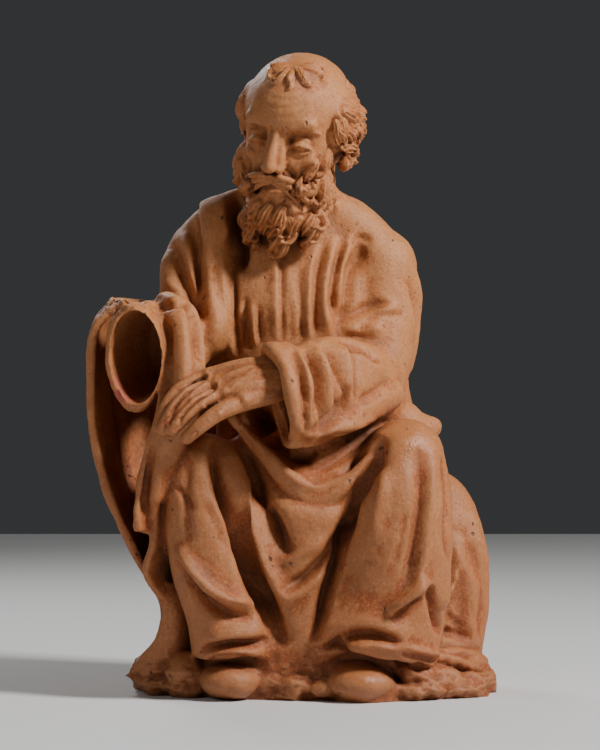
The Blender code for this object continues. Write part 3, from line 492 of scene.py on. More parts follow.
bpy.ops.object.select_all(action="DESELECT")
bpy.ops.mesh.primitive_uv_sphere_add(segments=20, ring_count=12, radius=1)
ballMesh = bpy.context.object.data
bpy.data.objects.remove(bpy.context.object)


def addBall(bm, ball):  # centre X, Y, Z, then half sizes, in parts
    mesh = ballMesh.copy()
    mesh.transform(Matrix.Translation(Vector(ball[:3]) * part) @ Matrix.Diagonal((*(Vector(ball[3:6]) * part), 1)))
    bm.from_mesh(mesh)
    bpy.data.meshes.remove(mesh)


def addLoft(bm, sections, steps=5, sides=32):  # oval sections square to the line of their centres
    line = smoothThrough(sections, steps)
    centres = line[:, :3] * part
    halves = line[:, 3:5] * part
    tangents = np.gradient(centres, axis=0)
    upright = abs(tangents[:, 2]).mean() > abs(tangents[:, :2]).sum(axis=1).mean()
    depthAxis = Vector((0, 1, 0)) if upright else Vector((0, 0, 1))
    rings = []
    for centre, half, tangent in zip(centres, halves, tangents):
        side = Vector(tangent).cross(depthAxis).normalized()
        deep = side.cross(Vector(tangent)).normalized()
        rings.append([
            bm.verts.new(Vector(centre) + side * half[0] * math.cos(a) + deep * half[1] * math.sin(a))
            for a in np.linspace(0, 2 * math.pi, sides, endpoint=False)
        ])
    for ring, above in zip(rings, rings[1:]):
        for i in range(sides):
            bm.faces.new((ring[i], ring[(i + 1) % sides], above[(i + 1) % sides], above[i]))
    bm.faces.new(reversed(rings[0]))
    bm.faces.new(rings[-1])


def addMade(bm, obj):  # adds an object as its modifiers leave it, then removes it
    graph = bpy.context.evaluated_depsgraph_get()
    mesh = bpy.data.meshes.new_from_object(obj.evaluated_get(graph))
    bm.from_mesh(mesh)
    bpy.data.meshes.remove(mesh)
    bpy.data.objects.remove(obj)


def addRolls(bm, rolls, closed=False):  # round rolls of clay through X, Y, Z, radius
    curve = bpy.data.curves.new("rolls", "CURVE")
    curve.dimensions = "3D"
    curve.bevel_depth = 1.0
    curve.bevel_resolution = 4
    curve.resolution_u = 6
    curve.use_fill_caps = True
    for roll in rolls:
        spline = curve.splines.new("BEZIER")
        spline.bezier_points.add(len(roll) - 1)
        for point, (x, y, z, radius) in zip(spline.bezier_points, roll):
            point.co = Vector((x, y, z)) * part
            point.radius = radius * part
            point.handle_left_type = point.handle_right_type = "AUTO"
        spline.use_cyclic_u = closed
    addMade(bm, newObject("rolls", curve))
    for roll in [] if closed else rolls:
        for x, y, z, radius in (roll[0], roll[-1]):
            addBall(bm, (x, y, z, radius, radius, radius))


def addSheet(bm, rows, wall, steps=8):  # cloth of even thickness through rows of points
    across = np.array([smoothThrough(row, steps) for row in rows])
    grid = smoothThrough(across.reshape(len(rows), -1), steps).reshape(-1, across.shape[1], 3) * part
    countV, countU = grid.shape[:2]
    faces = [
        (v * countU + u, v * countU + u + 1, (v + 1) * countU + u + 1, (v + 1) * countU + u)
        for v in range(countV - 1) for u in range(countU - 1)
    ]
    mesh = bpy.data.meshes.new("sheet")
    mesh.from_pydata([tuple(p) for p in grid.reshape(-1, 3)], [], faces)
    obj = newObject("sheet", mesh)
    solidify = obj.modifiers.new("wall", "SOLIDIFY")
    solidify.thickness = wall
    solidify.offset = 0
    addMade(bm, obj)


def addGround(bm):  # the slab under the figure
    corners = smoothThrough(groundOutline + groundOutline[:1], 4)[:-1] * part
    bottom = bm.faces.new([bm.verts.new((x, y, groundBottom * part)) for x, y in corners])
    raised = bmesh.ops.extrude_face_region(bm, geom=[bottom])["geom"]
    top = [v for v in raised if isinstance(v, bmesh.types.BMVert)]
    bmesh.ops.translate(bm, verts=top, vec=(0, 0, (groundTop - groundBottom) * part))


def skinned(bm, voxel, smoothing):  # one closed skin round all of it, then relaxed
    bmesh.ops.recalc_face_normals(bm, faces=bm.faces)
    obj = objectFrom("skin", bm)
    skin = obj.modifiers.new("skin", "REMESH")
    skin.mode = "VOXEL"
    skin.voxel_size = voxel
    relax = obj.modifiers.new("relax", "SMOOTH")
    relax.iterations = smoothing
    made = bmesh.new()
    addMade(made, obj)
    return made


def onPicture(points, eye):  # where the viewer sees points: X and Z on the upright plane, and depth, in parts
    scale = statue["viewingDistance"] / (statue["viewingDistance"] + points[:, 1:2])
    return (eye + (points[:, [0, 2]] - eye) * scale) / part, points[:, 1] / part


def inSight(picture, depth, facing, cell=4, reach=20):  # 1 where facing the viewer with nothing nearer in front
    index = np.floor((picture - picture.min(axis=0)) / cell).astype(int)
    nearest = np.full(index.max(axis=0) + 1, np.inf)
    np.minimum.at(nearest, (index[:, 0], index[:, 1]), depth)
    openAir = depth < nearest[index[:, 0], index[:, 1]] + reach
    return np.clip((facing - 0.05) / 0.3, 0, 1) * openAir


def evened(values, mesh, rounds):  # averaged with the neighbours along the edges
    ends = np.empty(len(mesh.edges) * 2, np.int32)
    mesh.edges.foreach_get("vertices", ends)
    a, b = ends.reshape(-1, 2).T
    count = np.bincount(np.concatenate((a, b)), minlength=len(values)) + 1
    for _ in range(rounds):
        total = np.bincount(a, values[b], len(values)) + np.bincount(b, values[a], len(values))
        values = (values + total) / count
    return values


def strokeRise(picture, stroke):  # how far one stroke lifts each point, in parts
    width, height, path, *edge = stroke
    line = smoothThrough(path, 6)
    rise = np.zeros(len(picture))
    margin = 3 * width
    near = np.all((picture > line.min(axis=0) - margin) & (picture < line.max(axis=0) + margin), axis=1)
    points = picture[near]
    starts, spans = line[:-1], np.diff(line, axis=0)
    lengths = np.linalg.norm(spans, axis=1)
    best = np.full(len(points), np.inf)
    share = np.zeros(len(points))
    turned = np.zeros(len(points))
    travelled = 0
    for start, span, length in zip(starts, spans, lengths):
        offset = points - start
        along = np.clip(offset @ span / length**2, 0, 1)
        away = offset - along[:, None] * span
        distance = np.hypot(away[:, 0], away[:, 1])
        closer = distance < best
        best[closer] = distance[closer]
        share[closer] = travelled + along[closer] * length
        turned[closer] = (span[0] * away[:, 1] - span[1] * away[:, 0])[closer]
        travelled += length
    share /= travelled
    taper = np.clip(np.minimum(share, 1 - share) / 0.22, 0, 1) ** 0.7
    if edge:
        profile = np.where(turned > 0, np.exp(-((best / width) ** 2)), np.exp(-((best / 1.5) ** 2)))
    elif height > 0:
        profile = np.exp(-((best / width) ** 2))
    else:  # a valley has a sharper bottom
        profile = 0.62 * np.exp(-((best / width) ** 2)) + 0.55 * np.clip(1 - best / (1.1 * width), 0, 1) ** 1.4
    rise[near] = height * taper * profile
    return rise


def vertexArrays(mesh):
    points = np.empty(len(mesh.vertices) * 3, np.float32)
    normals = np.empty(len(mesh.vertices) * 3, np.float32)
    mesh.vertices.foreach_get("co", points)
    mesh.vertex_normals.foreach_get("vector", normals)
    return points.reshape(-1, 3).astype(float), normals.reshape(-1, 3).astype(float)


def unpacked(bm):  # the skin as a mesh, with its points and normals
    mesh = bpy.data.meshes.new("unpacked")
    bm.to_mesh(mesh)
    return mesh, *vertexArrays(mesh)


def setPoints(mesh, points):
    mesh.vertices.foreach_set("co", points.astype(np.float32).ravel())


def packed(bm, mesh, points):  # the skin again, with its points moved
    setPoints(mesh, points)
    bm.clear()
    bm.from_mesh(mesh)
    bpy.data.meshes.remove(mesh)


def pressed(bm, strokes, turn=0, softening=1, eye=(eyeSide, eyeLevel)):
    # presses strokes in, as the viewer sees them once the figure is turned about Z
    mesh, points, normals = unpacked(bm)
    turning = np.array(Matrix.Rotation(math.radians(turn), 3, "Z"))
    picture, depth = onPicture(points @ turning.T, np.array(eye))
    weight = evened(inSight(picture, depth, -(normals @ turning.T)[:, 1]), mesh, 5)
    shown = weight > 0
    rise = np.zeros(len(points))
    for stroke in strokes:
        rise[shown] += strokeRise(picture[shown], stroke)
    points += normals * (evened(rise * weight, mesh, softening) * part)[:, None]
    packed(bm, mesh, points)


def builtCore():
    bm = bmesh.new()
    for loft in (torso, backMantle, seat, leftLeg, rightLeg, betweenLegs, underHems,
                 forearmSleeve, hangingArmSleeve):
        addLoft(bm, loft)
    addLoft(bm, lapFill)
    addRolls(bm, coreRolls + lapRolls)
    return skinned(bm, statue["coreVoxel"], smoothing=12)


def builtBody():
    bm = builtCore()
    addRolls(bm, frontRolls)
    for right, back in cuffRounds:
        addRolls(bm, [[(x + right, y + back, z, cuffRadius) for x, y, z in cuffRing]], closed=True)
    for rows in (mantleCurtain, mantleLappet, skirtSide, mantleEnd):
        addSheet(bm, rows, statue["clothWall"])
    for ball in lowForms + groundLumps:
        addBall(bm, ball)
    addGround(bm)
    bm = skinned(bm, statue["formVoxel"], smoothing=7)
    pressed(bm, tunicFolds + mantleFolds + sleeveFolds + skirtFolds, softening=2)
    for turn, folds in farFolds:
        pressed(bm, folds, turn)
    bm = skinned(bm, statue["formVoxel"], smoothing=1)
    roughened(bm)
    return bm


def within(points, ball):  # 1 inside the ball, falling to 0 at half its size again outside
    away = np.linalg.norm((points - ball[:3]) / ball[3:], axis=1)
    return np.clip(3 - 2 * away, 0, 1)


def roughened(bm):  # the ground and the broken sleeve rim are rough, and nothing is quite even
    mesh, points, normals = unpacked(bm)
    points /= part
    low = np.clip((46 - points[:, 2]) / 26, 0, 1)
    for ball in polished:
        low *= 1 - 0.9 * within(points, ball)
    rim = within(points, brokenRim)
    vectors = [Vector(point) for point in points]
    rise = np.zeros(len(points))
    for scale, evenly, onGround, onRim in statue["unevenness"]:
        pattern = np.array([noise.noise(vector / scale) for vector in vectors])
        rise += pattern * (evenly + onGround * low) - abs(pattern) * onRim * rim
    broken = low > 0
    for scale, depth in statue["chips"]:
        chips = np.zeros(len(points))
        layers = Vector((1, 1, 2.4)) / scale
        chips[broken] = [noise.voronoi(vectors[i] * layers)[0][0] - 0.45 for i in np.flatnonzero(broken)]
        rise += chips * depth * low
    packed(bm, mesh, (points + normals * rise[:, None]) * part)


browLines = [
    (1.5, -0.8, [(-27, 42), (-9, 38), (10, 39), (27, 43)]),
    (1.5, -0.6, [(-20, 33), (-6, 30), (8, 30), (22, 34)]),
    (1.4, -0.6, [(-22, 50), (-4, 47), (12, 47), (24, 50)]),
]
faceLines = [  # the lids, nostrils and brow hairs of one side
    (1.3, -1.3, [(34, 0), (29, 5), (22, 7), (14, 4)]),
    (1.5, -1.6, [(33, -3), (27, -4), (21, -4), (13, -3)]),
    (1.6, -0.9, [(32, -8), (24, -13), (15, -10)]),
    (2.2, -3.0, [(6, -29), (3, -28)]),
    (1.6, -1.4, [(12, -17), (14, -22), (11, -27)]),
]
browHairs = 13
for step in range(browHairs):
    x = 9 + step * 2.4
    z = 18.5 + 2.2 * math.sin(step / (browHairs - 1) * 2.6) - max(0, step - 7) * 1.1
    faceLines.append((0.9, 0.9, [(x, z - 2.2), (x + 1.6, z), (x + 4.2, z + 1.6)]))


def strokesOnBothSides(strokes):
    return strokes + [(*shape, mirrored(path)) for *shape, path in strokes]


# Locks: the height, then the first angle from the face, or the first and last; a lock's spacing, length, half
# width and rise
hairline = [(56, 124), (48, 98), (40, 78), (32, 66), (24, 59), (16, 56), (8, 56), (0, 60), (-8, 68), (-16, 80),
            (-25, 92), (-34, 104), (-43, 114)]
hairLock = (11.5, 25, 5.2, 5.5)
beardLine = [(-6, 64, 96), (-14, 62, 100), (-22, 60, 102), (-30, 57, 104), (-38, 54, 104), (-46, 50, 104),
             (-54, 42, 104), (-61, -1, 104), (-68, -1, 102), (-75, -1, 96), (-82, -1, 88), (-89, -1, 76), (-96, -1, 56)]
beardLock = (13.5, 29, 5.4, 6.6)
strandCount = 3
curlHole = {"depth": 5, "halfWidth": 2.2}
hairMass = [(0, 26, 2, 59, 60, 46), (-48, 6, 20, 12, 27, 25), (48, 6, 20, 12, 27, 25),
            (-42, -2, -40, 14, 30, 34), (31, -8, -44, 12, 24, 28), (0, -27, -68, 38, 33, 27)]
beardTips = [
    [(-22, -34, -82, 17), (-25, -38, -97, 10), (-20, -42, -109, 4)],
    [(7, -38, -84, 17), (9, -44, -101, 10), (3, -48, -113, 4)],
    [(30, -28, -78, 15), (34, -31, -91, 9), (29, -35, -101, 4)],
]
earRolls = [
    [(53, -1, -6, 3), (58, 3, 4, 3), (61, 11, 7, 3.2), (62, 18, 1, 3.2), (60, 18, -10, 3), (57, 12, -20, 3),
     (55, 5, -27, 4), (53, 0, -26, 3)],
    [(54, 3, -2, 2), (58, 9, -1, 2.2), (58, 13, -8, 2.2), (55, 8, -16, 2.4)],
]
tuft = [  # X and Z of the root, the way it lies in degrees from downwards, length, half width, its bend
    (-7, 71, -66, 20, 3.4, -1.2), (-5, 70, -42, 24, 3.8, 1.0), (-2, 69, -16, 22, 3.6, -1.1), (3, 68, 10, 19, 3.4, 1.2),
    (7, 70, 34, 25, 4.0, 0.9), (10, 71, 58, 28, 3.8, -0.8), (13, 71, 80, 22, 3.2, -1.1), (-9, 67, -58, 15, 3.0, 1.2),
    (-3, 64, -30, 15, 3.0, -1.0), (4, 62, 14, 14, 3.0, -1.2), (11, 66, 44, 22, 3.4, 1.2), (18, 69, 62, 17, 3.0, 1.0),
]
moustacheRolls = [
    [(1, -57, -30, 2.4), (10, -57, -30, 3.2), (20, -53, -33, 3.2), (29, -48, -38, 2.8), (36, -43, -43, 2.2),
     (39, -41, -38, 1.6)],
    [(2, -57, -34, 2.6), (11, -56, -35, 3.3), (21, -52, -40, 3.3), (29, -47, -48, 2.8), (35, -43, -54, 2.2),
     (39, -41, -50, 1.5)],
    [(2, -56, -37, 2.4), (10, -55, -40, 3.0), (18, -52, -46, 3.0), (24, -49, -54, 2.7), (28, -46, -61, 2.0),
     (32, -44, -59, 1.4)],
]
moustacheLocks = [  # X and Z on the head, then half width and rise
    ([(2, -30), (10, -30), (20, -33), (29, -38), (35, -42)], 2.6, 1.8),
    ([(3, -34), (11, -35), (21, -40), (29, -48), (34, -53)], 2.6, 1.8),
    ([(3, -38), (10, -40), (18, -46), (24, -54), (27, -60)], 2.4, 1.6),
]


def chance(*seeds):  # the same scattered number between -1 and 1 each time
    return math.sin(sum(seed * (i + 1.37) * 12.9898 for i, seed in enumerate(seeds)) * 43.7585)


def tracedLock(tree, root, heading, length, bend, width, rise):
    # follows the skin from its root and turns into a hook
    place, normal = tree.find_nearest(Vector(root))[:2]
    heading = Vector(heading)
    steps, line = 12, []
    for step in range(steps + 1):
        t = step / steps
        size = (0.55 + 0.5 * math.sin(math.pi * min(1, 0.12 + t))) * (1 - 0.35 * t**2)
        heading = (heading - normal * heading.dot(normal)).normalized()
        height = rise * (0.35 + 0.75 * math.sin(2.2 * t + 0.2))
        line.append((*place, *heading.cross(normal), width * size, height, bend))
        heading = Matrix.Rotation(bend * (-0.9 + 10 * t**2.2) / steps, 3, normal) @ heading
        place, normal = tree.find_nearest(place + heading * length / steps)[:2]
    return np.array(line)


def lockRise(points, line):  # how far a lock lifts each point, and how near its middle the point is
    centres, sides, widths, rises = line[:, :3], line[:, 3:6], line[:, 6], line[:, 7]
    spans = np.diff(centres, axis=0)
    lengths = np.linalg.norm(spans, axis=1)
    offset = points[:, None] - centres[:-1]
    along = np.clip((offset * spans).sum(axis=2) / lengths**2, 0, 1)
    away = offset - along[..., None] * spans
    width = widths[:-1] + along * np.diff(widths)
    reach = np.linalg.norm(away, axis=2) / width
    rows, nearest = np.arange(len(points)), reach.argmin(axis=1)
    reach, along, away = reach[rows, nearest], along[rows, nearest], away[rows, nearest]
    across = (away * sides[nearest]).sum(axis=1) / width[rows, nearest]
    rise = rises[nearest] + along * np.diff(rises)[nearest]
    strand = 0.78 + 0.22 * np.cos(2 * math.pi * across * strandCount / 2)
    return rise * np.sqrt(np.clip(1 - reach**2, 0, 1)) * strand, reach


def lifted(bm, locks, gap, holes=()):  # raises locks from the skin, with gaps of that depth between them
    mesh, points, normals = unpacked(bm)
    points /= part
    best, nearest = np.zeros(len(points)), np.full(len(points), 9.0)
    for line in locks:
        margin = 2.4 * line[:, 6].max()
        least, most = line[:, :3].min(axis=0) - margin, line[:, :3].max(axis=0) + margin
        inside = np.flatnonzero(np.all((points > least) & (points < most), axis=1))
        if len(inside):
            rise, reach = lockRise(points[inside], line)
            best[inside] = np.maximum(best[inside], rise)
            nearest[inside] = np.minimum(nearest[inside], reach)
    rise = best - gap * np.clip((2.2 - nearest) / 0.8, 0, 1)
    for hole in holes:
        around = np.flatnonzero(np.all(abs(points - hole) < 6, axis=1))
        away = np.linalg.norm(points[around] - hole, axis=1)
        rise[around] -= curlHole["depth"] * np.exp(-((away / curlHole["halfWidth"]) ** 2))
    packed(bm, mesh, (points + normals * rise[:, None]) * part)


def skinTree(bm):  # the skin in parts, to trace locks on
    tree = bm.copy()
    tree.transform(Matrix.Scale(1 / part, 4))
    made = BVHTree.FromBMesh(tree)
    tree.free()
    return made


def spread(first, last, radius, spacing, shift):  # angles about as far apart as the spacing
    count = max(2, round(math.radians(last - first) * radius / spacing))
    return [first + (last - first) * (i + 0.25 + 0.5 * shift) / count for i in range(count)]


def hairLocks(tree):
    spacing, length, width, rise = hairLock
    locks = []
    for row, (height, first) in enumerate(hairline):
        radius = 58 * math.sqrt(max(0.1, 1 - (max(0, height - 20) / 50) ** 2))
        for i, angle in enumerate(spread(first, 360 - first, radius, spacing, row % 2)):
            turn = math.radians(angle)
            root = (60 * math.sin(turn), 10 - 68 * math.cos(turn), height + 2 * math.sin(7 * i + row))
            if abs(root[0]) > 44 and -10 < root[1] < 26 and -40 < root[2] < 8:
                continue  # the ear stays open
            back = (0.75 if angle < 180 else -0.75) + 0.35 * chance(i, row, 7)
            heading = (back * math.cos(turn), back * math.sin(turn), -1)
            size = 1 + 0.2 * chance(i, row, 8)
            bend = math.copysign(0.75 + 0.3 * chance(i, row, 9), chance(i, row, 10))
            locks.append(tracedLock(tree, root, heading, length * size, bend, width * size, rise * size**2))
    return locks


def beardLocks(tree):
    spacing, length, width, rise = beardLock
    locks = []
    for row, (height, inner, outer) in enumerate(beardLine):
        arcs = [(inner, outer), (-outer, -inner)] if inner > 0 else [(-outer, outer)]
        for first, last in arcs:
            for i, angle in enumerate(spread(first, last, 46, spacing, row % 2)):
                turn = math.radians(angle + 5 * chance(i, row, 1))
                root = (58 * math.sin(turn), -6 - 66 * math.cos(turn), height + 4 * chance(i, row, 2))
                if abs(abs(root[0]) - 31) < 10 and height > -72 and root[1] < -28:
                    continue  # the moustache ends here
                size = 1 + 0.22 * chance(i, row, 3)
                bend = math.copysign(1 + 0.3 * chance(i, row, 4), chance(i, row, 5))
                lean = 0.7 * chance(i, row, 6)
                heading = (lean * math.cos(turn), lean * math.sin(turn), -1)
                locks.append(tracedLock(tree, root, heading, length * size, bend, width * size, rise * size**2))
    return locks


def drilled(locks):  # the hole at the middle of each curl
    return [line[-4, :3] - line[-4, 3:6] * 3.4 * np.sign(line[0, 8]) for line in locks]


def frontLocks(tree, paths):  # locks drawn on the face from the front
    locks = []
    for path, width, rise in paths:
        line = []
        for x, z in smoothThrough(path, 4):
            hit, normal = tree.ray_cast(Vector((x, -120, z)), Vector((0, 1, 0)))[:2]
            line.append((hit, normal))
        for i, (hit, normal) in enumerate(line):
            ahead = (line[min(i + 1, len(line) - 1)][0] - line[max(i - 1, 0)][0]).normalized()
            t = i / (len(line) - 1)
            size = 0.5 + 0.6 * math.sin(math.pi * min(1, 0.1 + 0.95 * t))
            height = rise * (0.4 + 0.7 * math.sin(2.3 * t + 0.2))
            line[i] = (hit, normal, (*hit, *ahead.cross(normal), width * size, height))
        locks.append(np.array([row[2] for row in line]))
    return locks


def tuftLocks(tree):  # locks that spring from the bald front of the head
    locks = []
    for x, z, angle, length, radius, bend in tuft:
        hit, normal = tree.ray_cast(Vector((x, -120, z)), Vector((0, 1, 0)))[:2]
        downhill = (Vector((0, 0, -1)) + normal * normal.z).normalized()
        heading = Matrix.Rotation(math.radians(angle), 3, normal) @ downhill
        locks.append(tracedLock(tree, hit, heading, length, bend, radius, radius * 1.25))
    return locks


def builtHead():
    bm = bmesh.new()
    addBall(bm, skull)
    addLoft(bm, face)
    addLoft(bm, neck)
    for ball in softFace + hairMass:
        addBall(bm, ball)
    bm = skinned(bm, statue["headVoxel"] * 2, smoothing=14)
    pressed(bm, strokesOnBothSides(faceHollows), eye=(0, 0))
    for ball in faceBalls + mirrored(faceBalls):
        addBall(bm, ball)
    addRolls(bm, faceRolls + beardTips + onBothSides(earRolls + moustacheRolls))
    bm = skinned(bm, statue["headVoxel"], smoothing=5)
    pressed(bm, browLines + strokesOnBothSides(faceLines), eye=(0, 0))
    tree = skinTree(bm)
    beard = beardLocks(tree)
    lifted(bm, hairLocks(tree) + beard, gap=3.2, holes=drilled(beard))
    lifted(bm, tuftLocks(tree), gap=0)
    tree = skinTree(bm)
    moustache = moustacheLocks + [(mirrored(path), *size) for path, *size in moustacheLocks]
    lifted(bm, frontLocks(tree, moustache), gap=0.4)
    bm.transform(
        Matrix.Translation(Vector(headCentre) * part)
        @ Matrix.Rotation(math.radians(headTilt), 4, "Y")
        @ Matrix.Rotation(math.radians(-headTurn), 4, "Z")
        @ Matrix.Rotation(math.radians(headBow), 4, "X")
    )
    return bm


handLines = [  # on the picture plane: tendons, knuckles, joints, gaps between the fingers
    (2.2, 1.6, [(-52, 335), (-73, 331), (-97, 320)]),
    (2.0, 1.5, [(-50, 329), (-68, 323), (-88, 315)]),
    (2.0, 1.3, [(-51, 324), (-68, 316), (-82, 307)]),
    (2.0, 1.2, [(-55, 319), (-70, 311), (-80, 300)]),
    (2.0, -1.0, [(-58, 330), (-74, 325), (-90, 318)]),
    (2.0, -1.0, [(-56, 324), (-72, 316), (-84, 309)]),
    (4.5, 2.0, [(-104, 322), (-100, 319), (-96, 317)]),
    (4.5, 2.0, [(-95, 314), (-91, 311), (-87, 309)]),
    (4.5, 1.8, [(-86, 304), (-82, 301), (-79, 299)]),
    (4.0, 1.4, [(-67, 294), (-62, 292), (-58, 290)]),
    (3.6, 1.5, [(-127, 307), (-123, 304), (-120, 302)]),
    (3.6, 1.5, [(-119, 297), (-115, 294), (-112, 292)]),
    (3.6, 1.4, [(-108, 289), (-105, 287), (-102, 285)]),
    (3.4, 1.4, [(-92, 282), (-88, 279), (-85, 277)]),
    (2.4, -5.5, [(-100, 317), (-112, 309), (-124, 297), (-133, 284), (-138, 272)]),
    (2.4, -5.5, [(-90, 308), (-101, 300), (-113, 291), (-124, 280), (-131, 268)]),
    (1.0, -0.7, [(-118, 301), (-121, 306)]),
    (1.0, -0.7, [(-121, 299), (-124, 304)]),
    (1.0, -0.7, [(-110, 291), (-114, 297)]),
    (1.0, -0.7, [(-99, 284), (-103, 290)]),
]
nails = [(-141, 270, 3.2, 5, -20), (-130, 270, 3.4, 5, -24), (-114, 258, 2.8, 4.4, -40)]  # X, Z, half sizes, lean


def builtHand():
    bm = bmesh.new()
    addRolls(bm, palm + fingers)
    bm = skinned(bm, statue["headVoxel"], smoothing=5)
    lines = list(handLines)
    for x, z, wide, tall, lean in nails:
        c, s = math.cos(math.radians(lean)), math.sin(math.radians(lean))
        ring = [(wide * math.cos(a), tall * math.sin(a)) for a in np.linspace(-0.9, math.pi + 0.9, 9)]
        lines.append((0.9, -1.2, [(x + u * c - v * s, z + u * s + v * c) for u, v in ring]))
        lines.append((wide * 0.7, 0.6, [(x + tall * 0.6 * s, z - tall * 0.6 * c), (x, z)]))
    pressed(bm, lines)
    return bm


def thinned(name, bm, triangles):
    bmesh.ops.triangulate(bm, faces=bm.faces)
    obj = objectFrom(name, bm)
    thin = obj.modifiers.new("thin", "DECIMATE")
    thin.ratio = min(1, triangles / len(obj.data.polygons))
    applyModifiers(obj)
    return obj


def combine(obj, operation, other):
    cut = obj.modifiers.new(operation, "BOOLEAN")
    cut.operation = operation
    cut.object = other
    cut.solver = "MANIFOLD"
    applyModifiers(obj)
    bpy.data.objects.remove(other)


def hollowFor(sections):
    bm = bmesh.new()
    addLoft(bm, sections)
    bmesh.ops.recalc_face_normals(bm, faces=bm.faces)
    return objectFrom("hollow", bm)


def shadeAndWearMasks(obj):  # attributes for the painted shade in the hollows and the pale wear on the ridges: sunk, 0.5 on even skin and more in hollows, and open, 1 where the air reaches it
    mesh = obj.data
    points, normals = vertexArrays(mesh)
    columns = [evened(points[:, i], mesh, 4) for i in range(3)]
    near = ((np.column_stack(columns) - points) * normals).sum(axis=1)
    columns = [evened(column, mesh, 36) for column in columns]
    wide = ((np.column_stack(columns) - points) * normals).sum(axis=1)
    sunk = np.clip(0.5 + near / (1.6 * part) + wide / (9 * part), 0, 1)
    tree = BVHTree.FromPolygons([tuple(point) for point in points], [tuple(face.vertices) for face in mesh.polygons])
    # ways to look out, in radians: tilt from the normal, then turn round it
    ways = [(0.35, 0), (0.35, 2.1), (0.35, 4.2), (0.8, 1), (0.8, 2.6), (0.8, 4.1), (0.8, 5.7)]
    reach = statue["shadeReach"]
    air = np.zeros(len(points))
    for i, (point, normal) in enumerate(zip(points, normals)):
        normal = Vector(normal)
        side = normal.orthogonal().normalized()
        start = Vector(point) + normal * 0.001
        for tilt, turn in ways:
            way = Matrix.Rotation(turn, 3, normal) @ (normal * math.cos(tilt) + side * math.sin(tilt))
            distance = tree.ray_cast(start, way, reach)[3]
            air[i] += 1 if distance is None else distance / reach
    air = evened(air / len(ways), mesh, 2)
    for name, values in (("sunk", sunk), ("open", air)):
        mesh.attributes.new(name, "FLOAT", "POINT").data.foreach_set("value", values.astype(np.float32))


saint = thinned("seatedSaint", builtBody(), statue["bodyTriangles"])
print("body", len(saint.data.polygons))
for sections in (sleeveHollow, cuffHollow):
    combine(saint, "DIFFERENCE", hollowFor(sections))
bpy.ops.object.select_all(action="DESELECT")
# what lies under the floor goes
bpy.ops.mesh.primitive_cube_add(size=1, location=(0, 0.05, -0.1), scale=(1, 1, 0.2))
combine(saint, "DIFFERENCE", bpy.context.object)
headPiece = thinned("head", builtHead(), statue["headTriangles"])
print("head", len(headPiece.data.polygons))
combine(saint, "UNION", headPiece)
combine(saint, "UNION", thinned("hand", builtHand(), statue["handTriangles"]))
select(saint)
bpy.ops.object.shade_smooth()
least, most = np.array([list(corner) for corner in boundsAtStart], float)
most -= statue["boxMargin"]
least[:2] += statue["boxMargin"]
points = np.clip(vertexArrays(saint.data)[0], least, most)
setPoints(saint.data, points)
# masks for the painted shade in the hollows and the pale wear on the ridges
shadeAndWearMasks(saint)
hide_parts("saint_joseph_statue")
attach(saint, "root")
print("statue", len(saint.data.polygons))


class Value:
    def __init__(self, tree, socket):
        self.tree = tree
        self.socket = socket

    def maths(self, operation, *values):
        node = self.tree.nodes.new("ShaderNodeMath")
        node.operation = operation
        for slot, value in zip(node.inputs, values):
            if isinstance(value, Value):
                self.tree.links.new(value.socket, slot)
            else:
                slot.default_value = value
        return Value(self.tree, node.outputs[0])

    def __add__(self, other):
        return self.maths("ADD", self, other)

    def __radd__(self, other):
        return self.maths("ADD", other, self)

    def __sub__(self, other):
        return self.maths("SUBTRACT", self, other)

    def __rsub__(self, other):
        return self.maths("SUBTRACT", other, self)

    def __mul__(self, other):
        return self.maths("MULTIPLY", self, other)

    def __rmul__(self, other):
        return self.maths("MULTIPLY", other, self)

    def __truediv__(self, other):
        return self.maths("DIVIDE", self, other)

    def held(self, low=0.0, high=1.0):
        return self.maths("MINIMUM", self.maths("MAXIMUM", self, low), high)

    def stepped(self, start, end):  # 0 at start, 1 at end, soft between
        node = self.tree.nodes.new("ShaderNodeMapRange")
        node.interpolation_type = "SMOOTHSTEP"
        self.tree.links.new(self.socket, node.inputs["Value"])
        node.inputs["From Min"].default_value = start
        node.inputs["From Max"].default_value = end
        return Value(self.tree, node.outputs[0])


class Finish:
    def __init__(self, name):
        self.material = bpy.data.materials.new(name)
        self.material.use_nodes = True
        self.tree = self.material.node_tree
        self.shader = self.tree.nodes["Principled BSDF"]

    def node(self, kind, settings=None, outlet=0, **values):
        node = self.tree.nodes.new(kind)
        for name, value in (settings or {}).items():
            setattr(node, name, value)
        for name, value in values.items():
            slot = node.inputs[int(name[1:]) if name[0] == "i" and name[1:].isdigit() else name.replace("_", " ")]
            if isinstance(value, Value):
                self.tree.links.new(value.socket, slot)
            else:
                slot.default_value = value
        return Value(self.tree, node.outputs[outlet])

    def mix(self, share, first, second, blend="MIX"):
        return self.node("ShaderNodeMix", {"data_type": "RGBA", "blend_type": blend}, outlet=2,
                         i0=share, i6=first, i7=second)

    def feed(self, name, value):
        self.tree.links.new(value.socket, self.shader.inputs[name])


clayLook = {  # tones, then places in parts with their sizes
    "mid": (0.320, 0.088, 0.021),
    "warm": (0.320, 0.072, 0.014),
    "brown": (0.165, 0.052, 0.018),
    "dark": (0.036, 0.016, 0.010),
    # painted light: the paler, yellower tone that makes the upper part look more strongly lit
    "paintedToplightOchre": (0.480, 0.168, 0.046),
    "pale": (0.480, 0.220, 0.086),
    "flake": (0.520, 0.340, 0.200),
    "paint": (0.440, 0.080, 0.055),
    "rubbed": (0.420, 0.155, 0.058),
    "polished": [((88, -104, 256), 52), ((-22, -60, 612), 46), ((56, -100, 26), 34)],  # knee, crown and toe
    "painted": ((-183, -80, 302), 20),  # in the empty sleeve
    "roughness": 0.58,
    "specular": 0.42,
    "pitDepth": 0.0022,
}


def colour(name):
    return (*clayLook[name], 1)


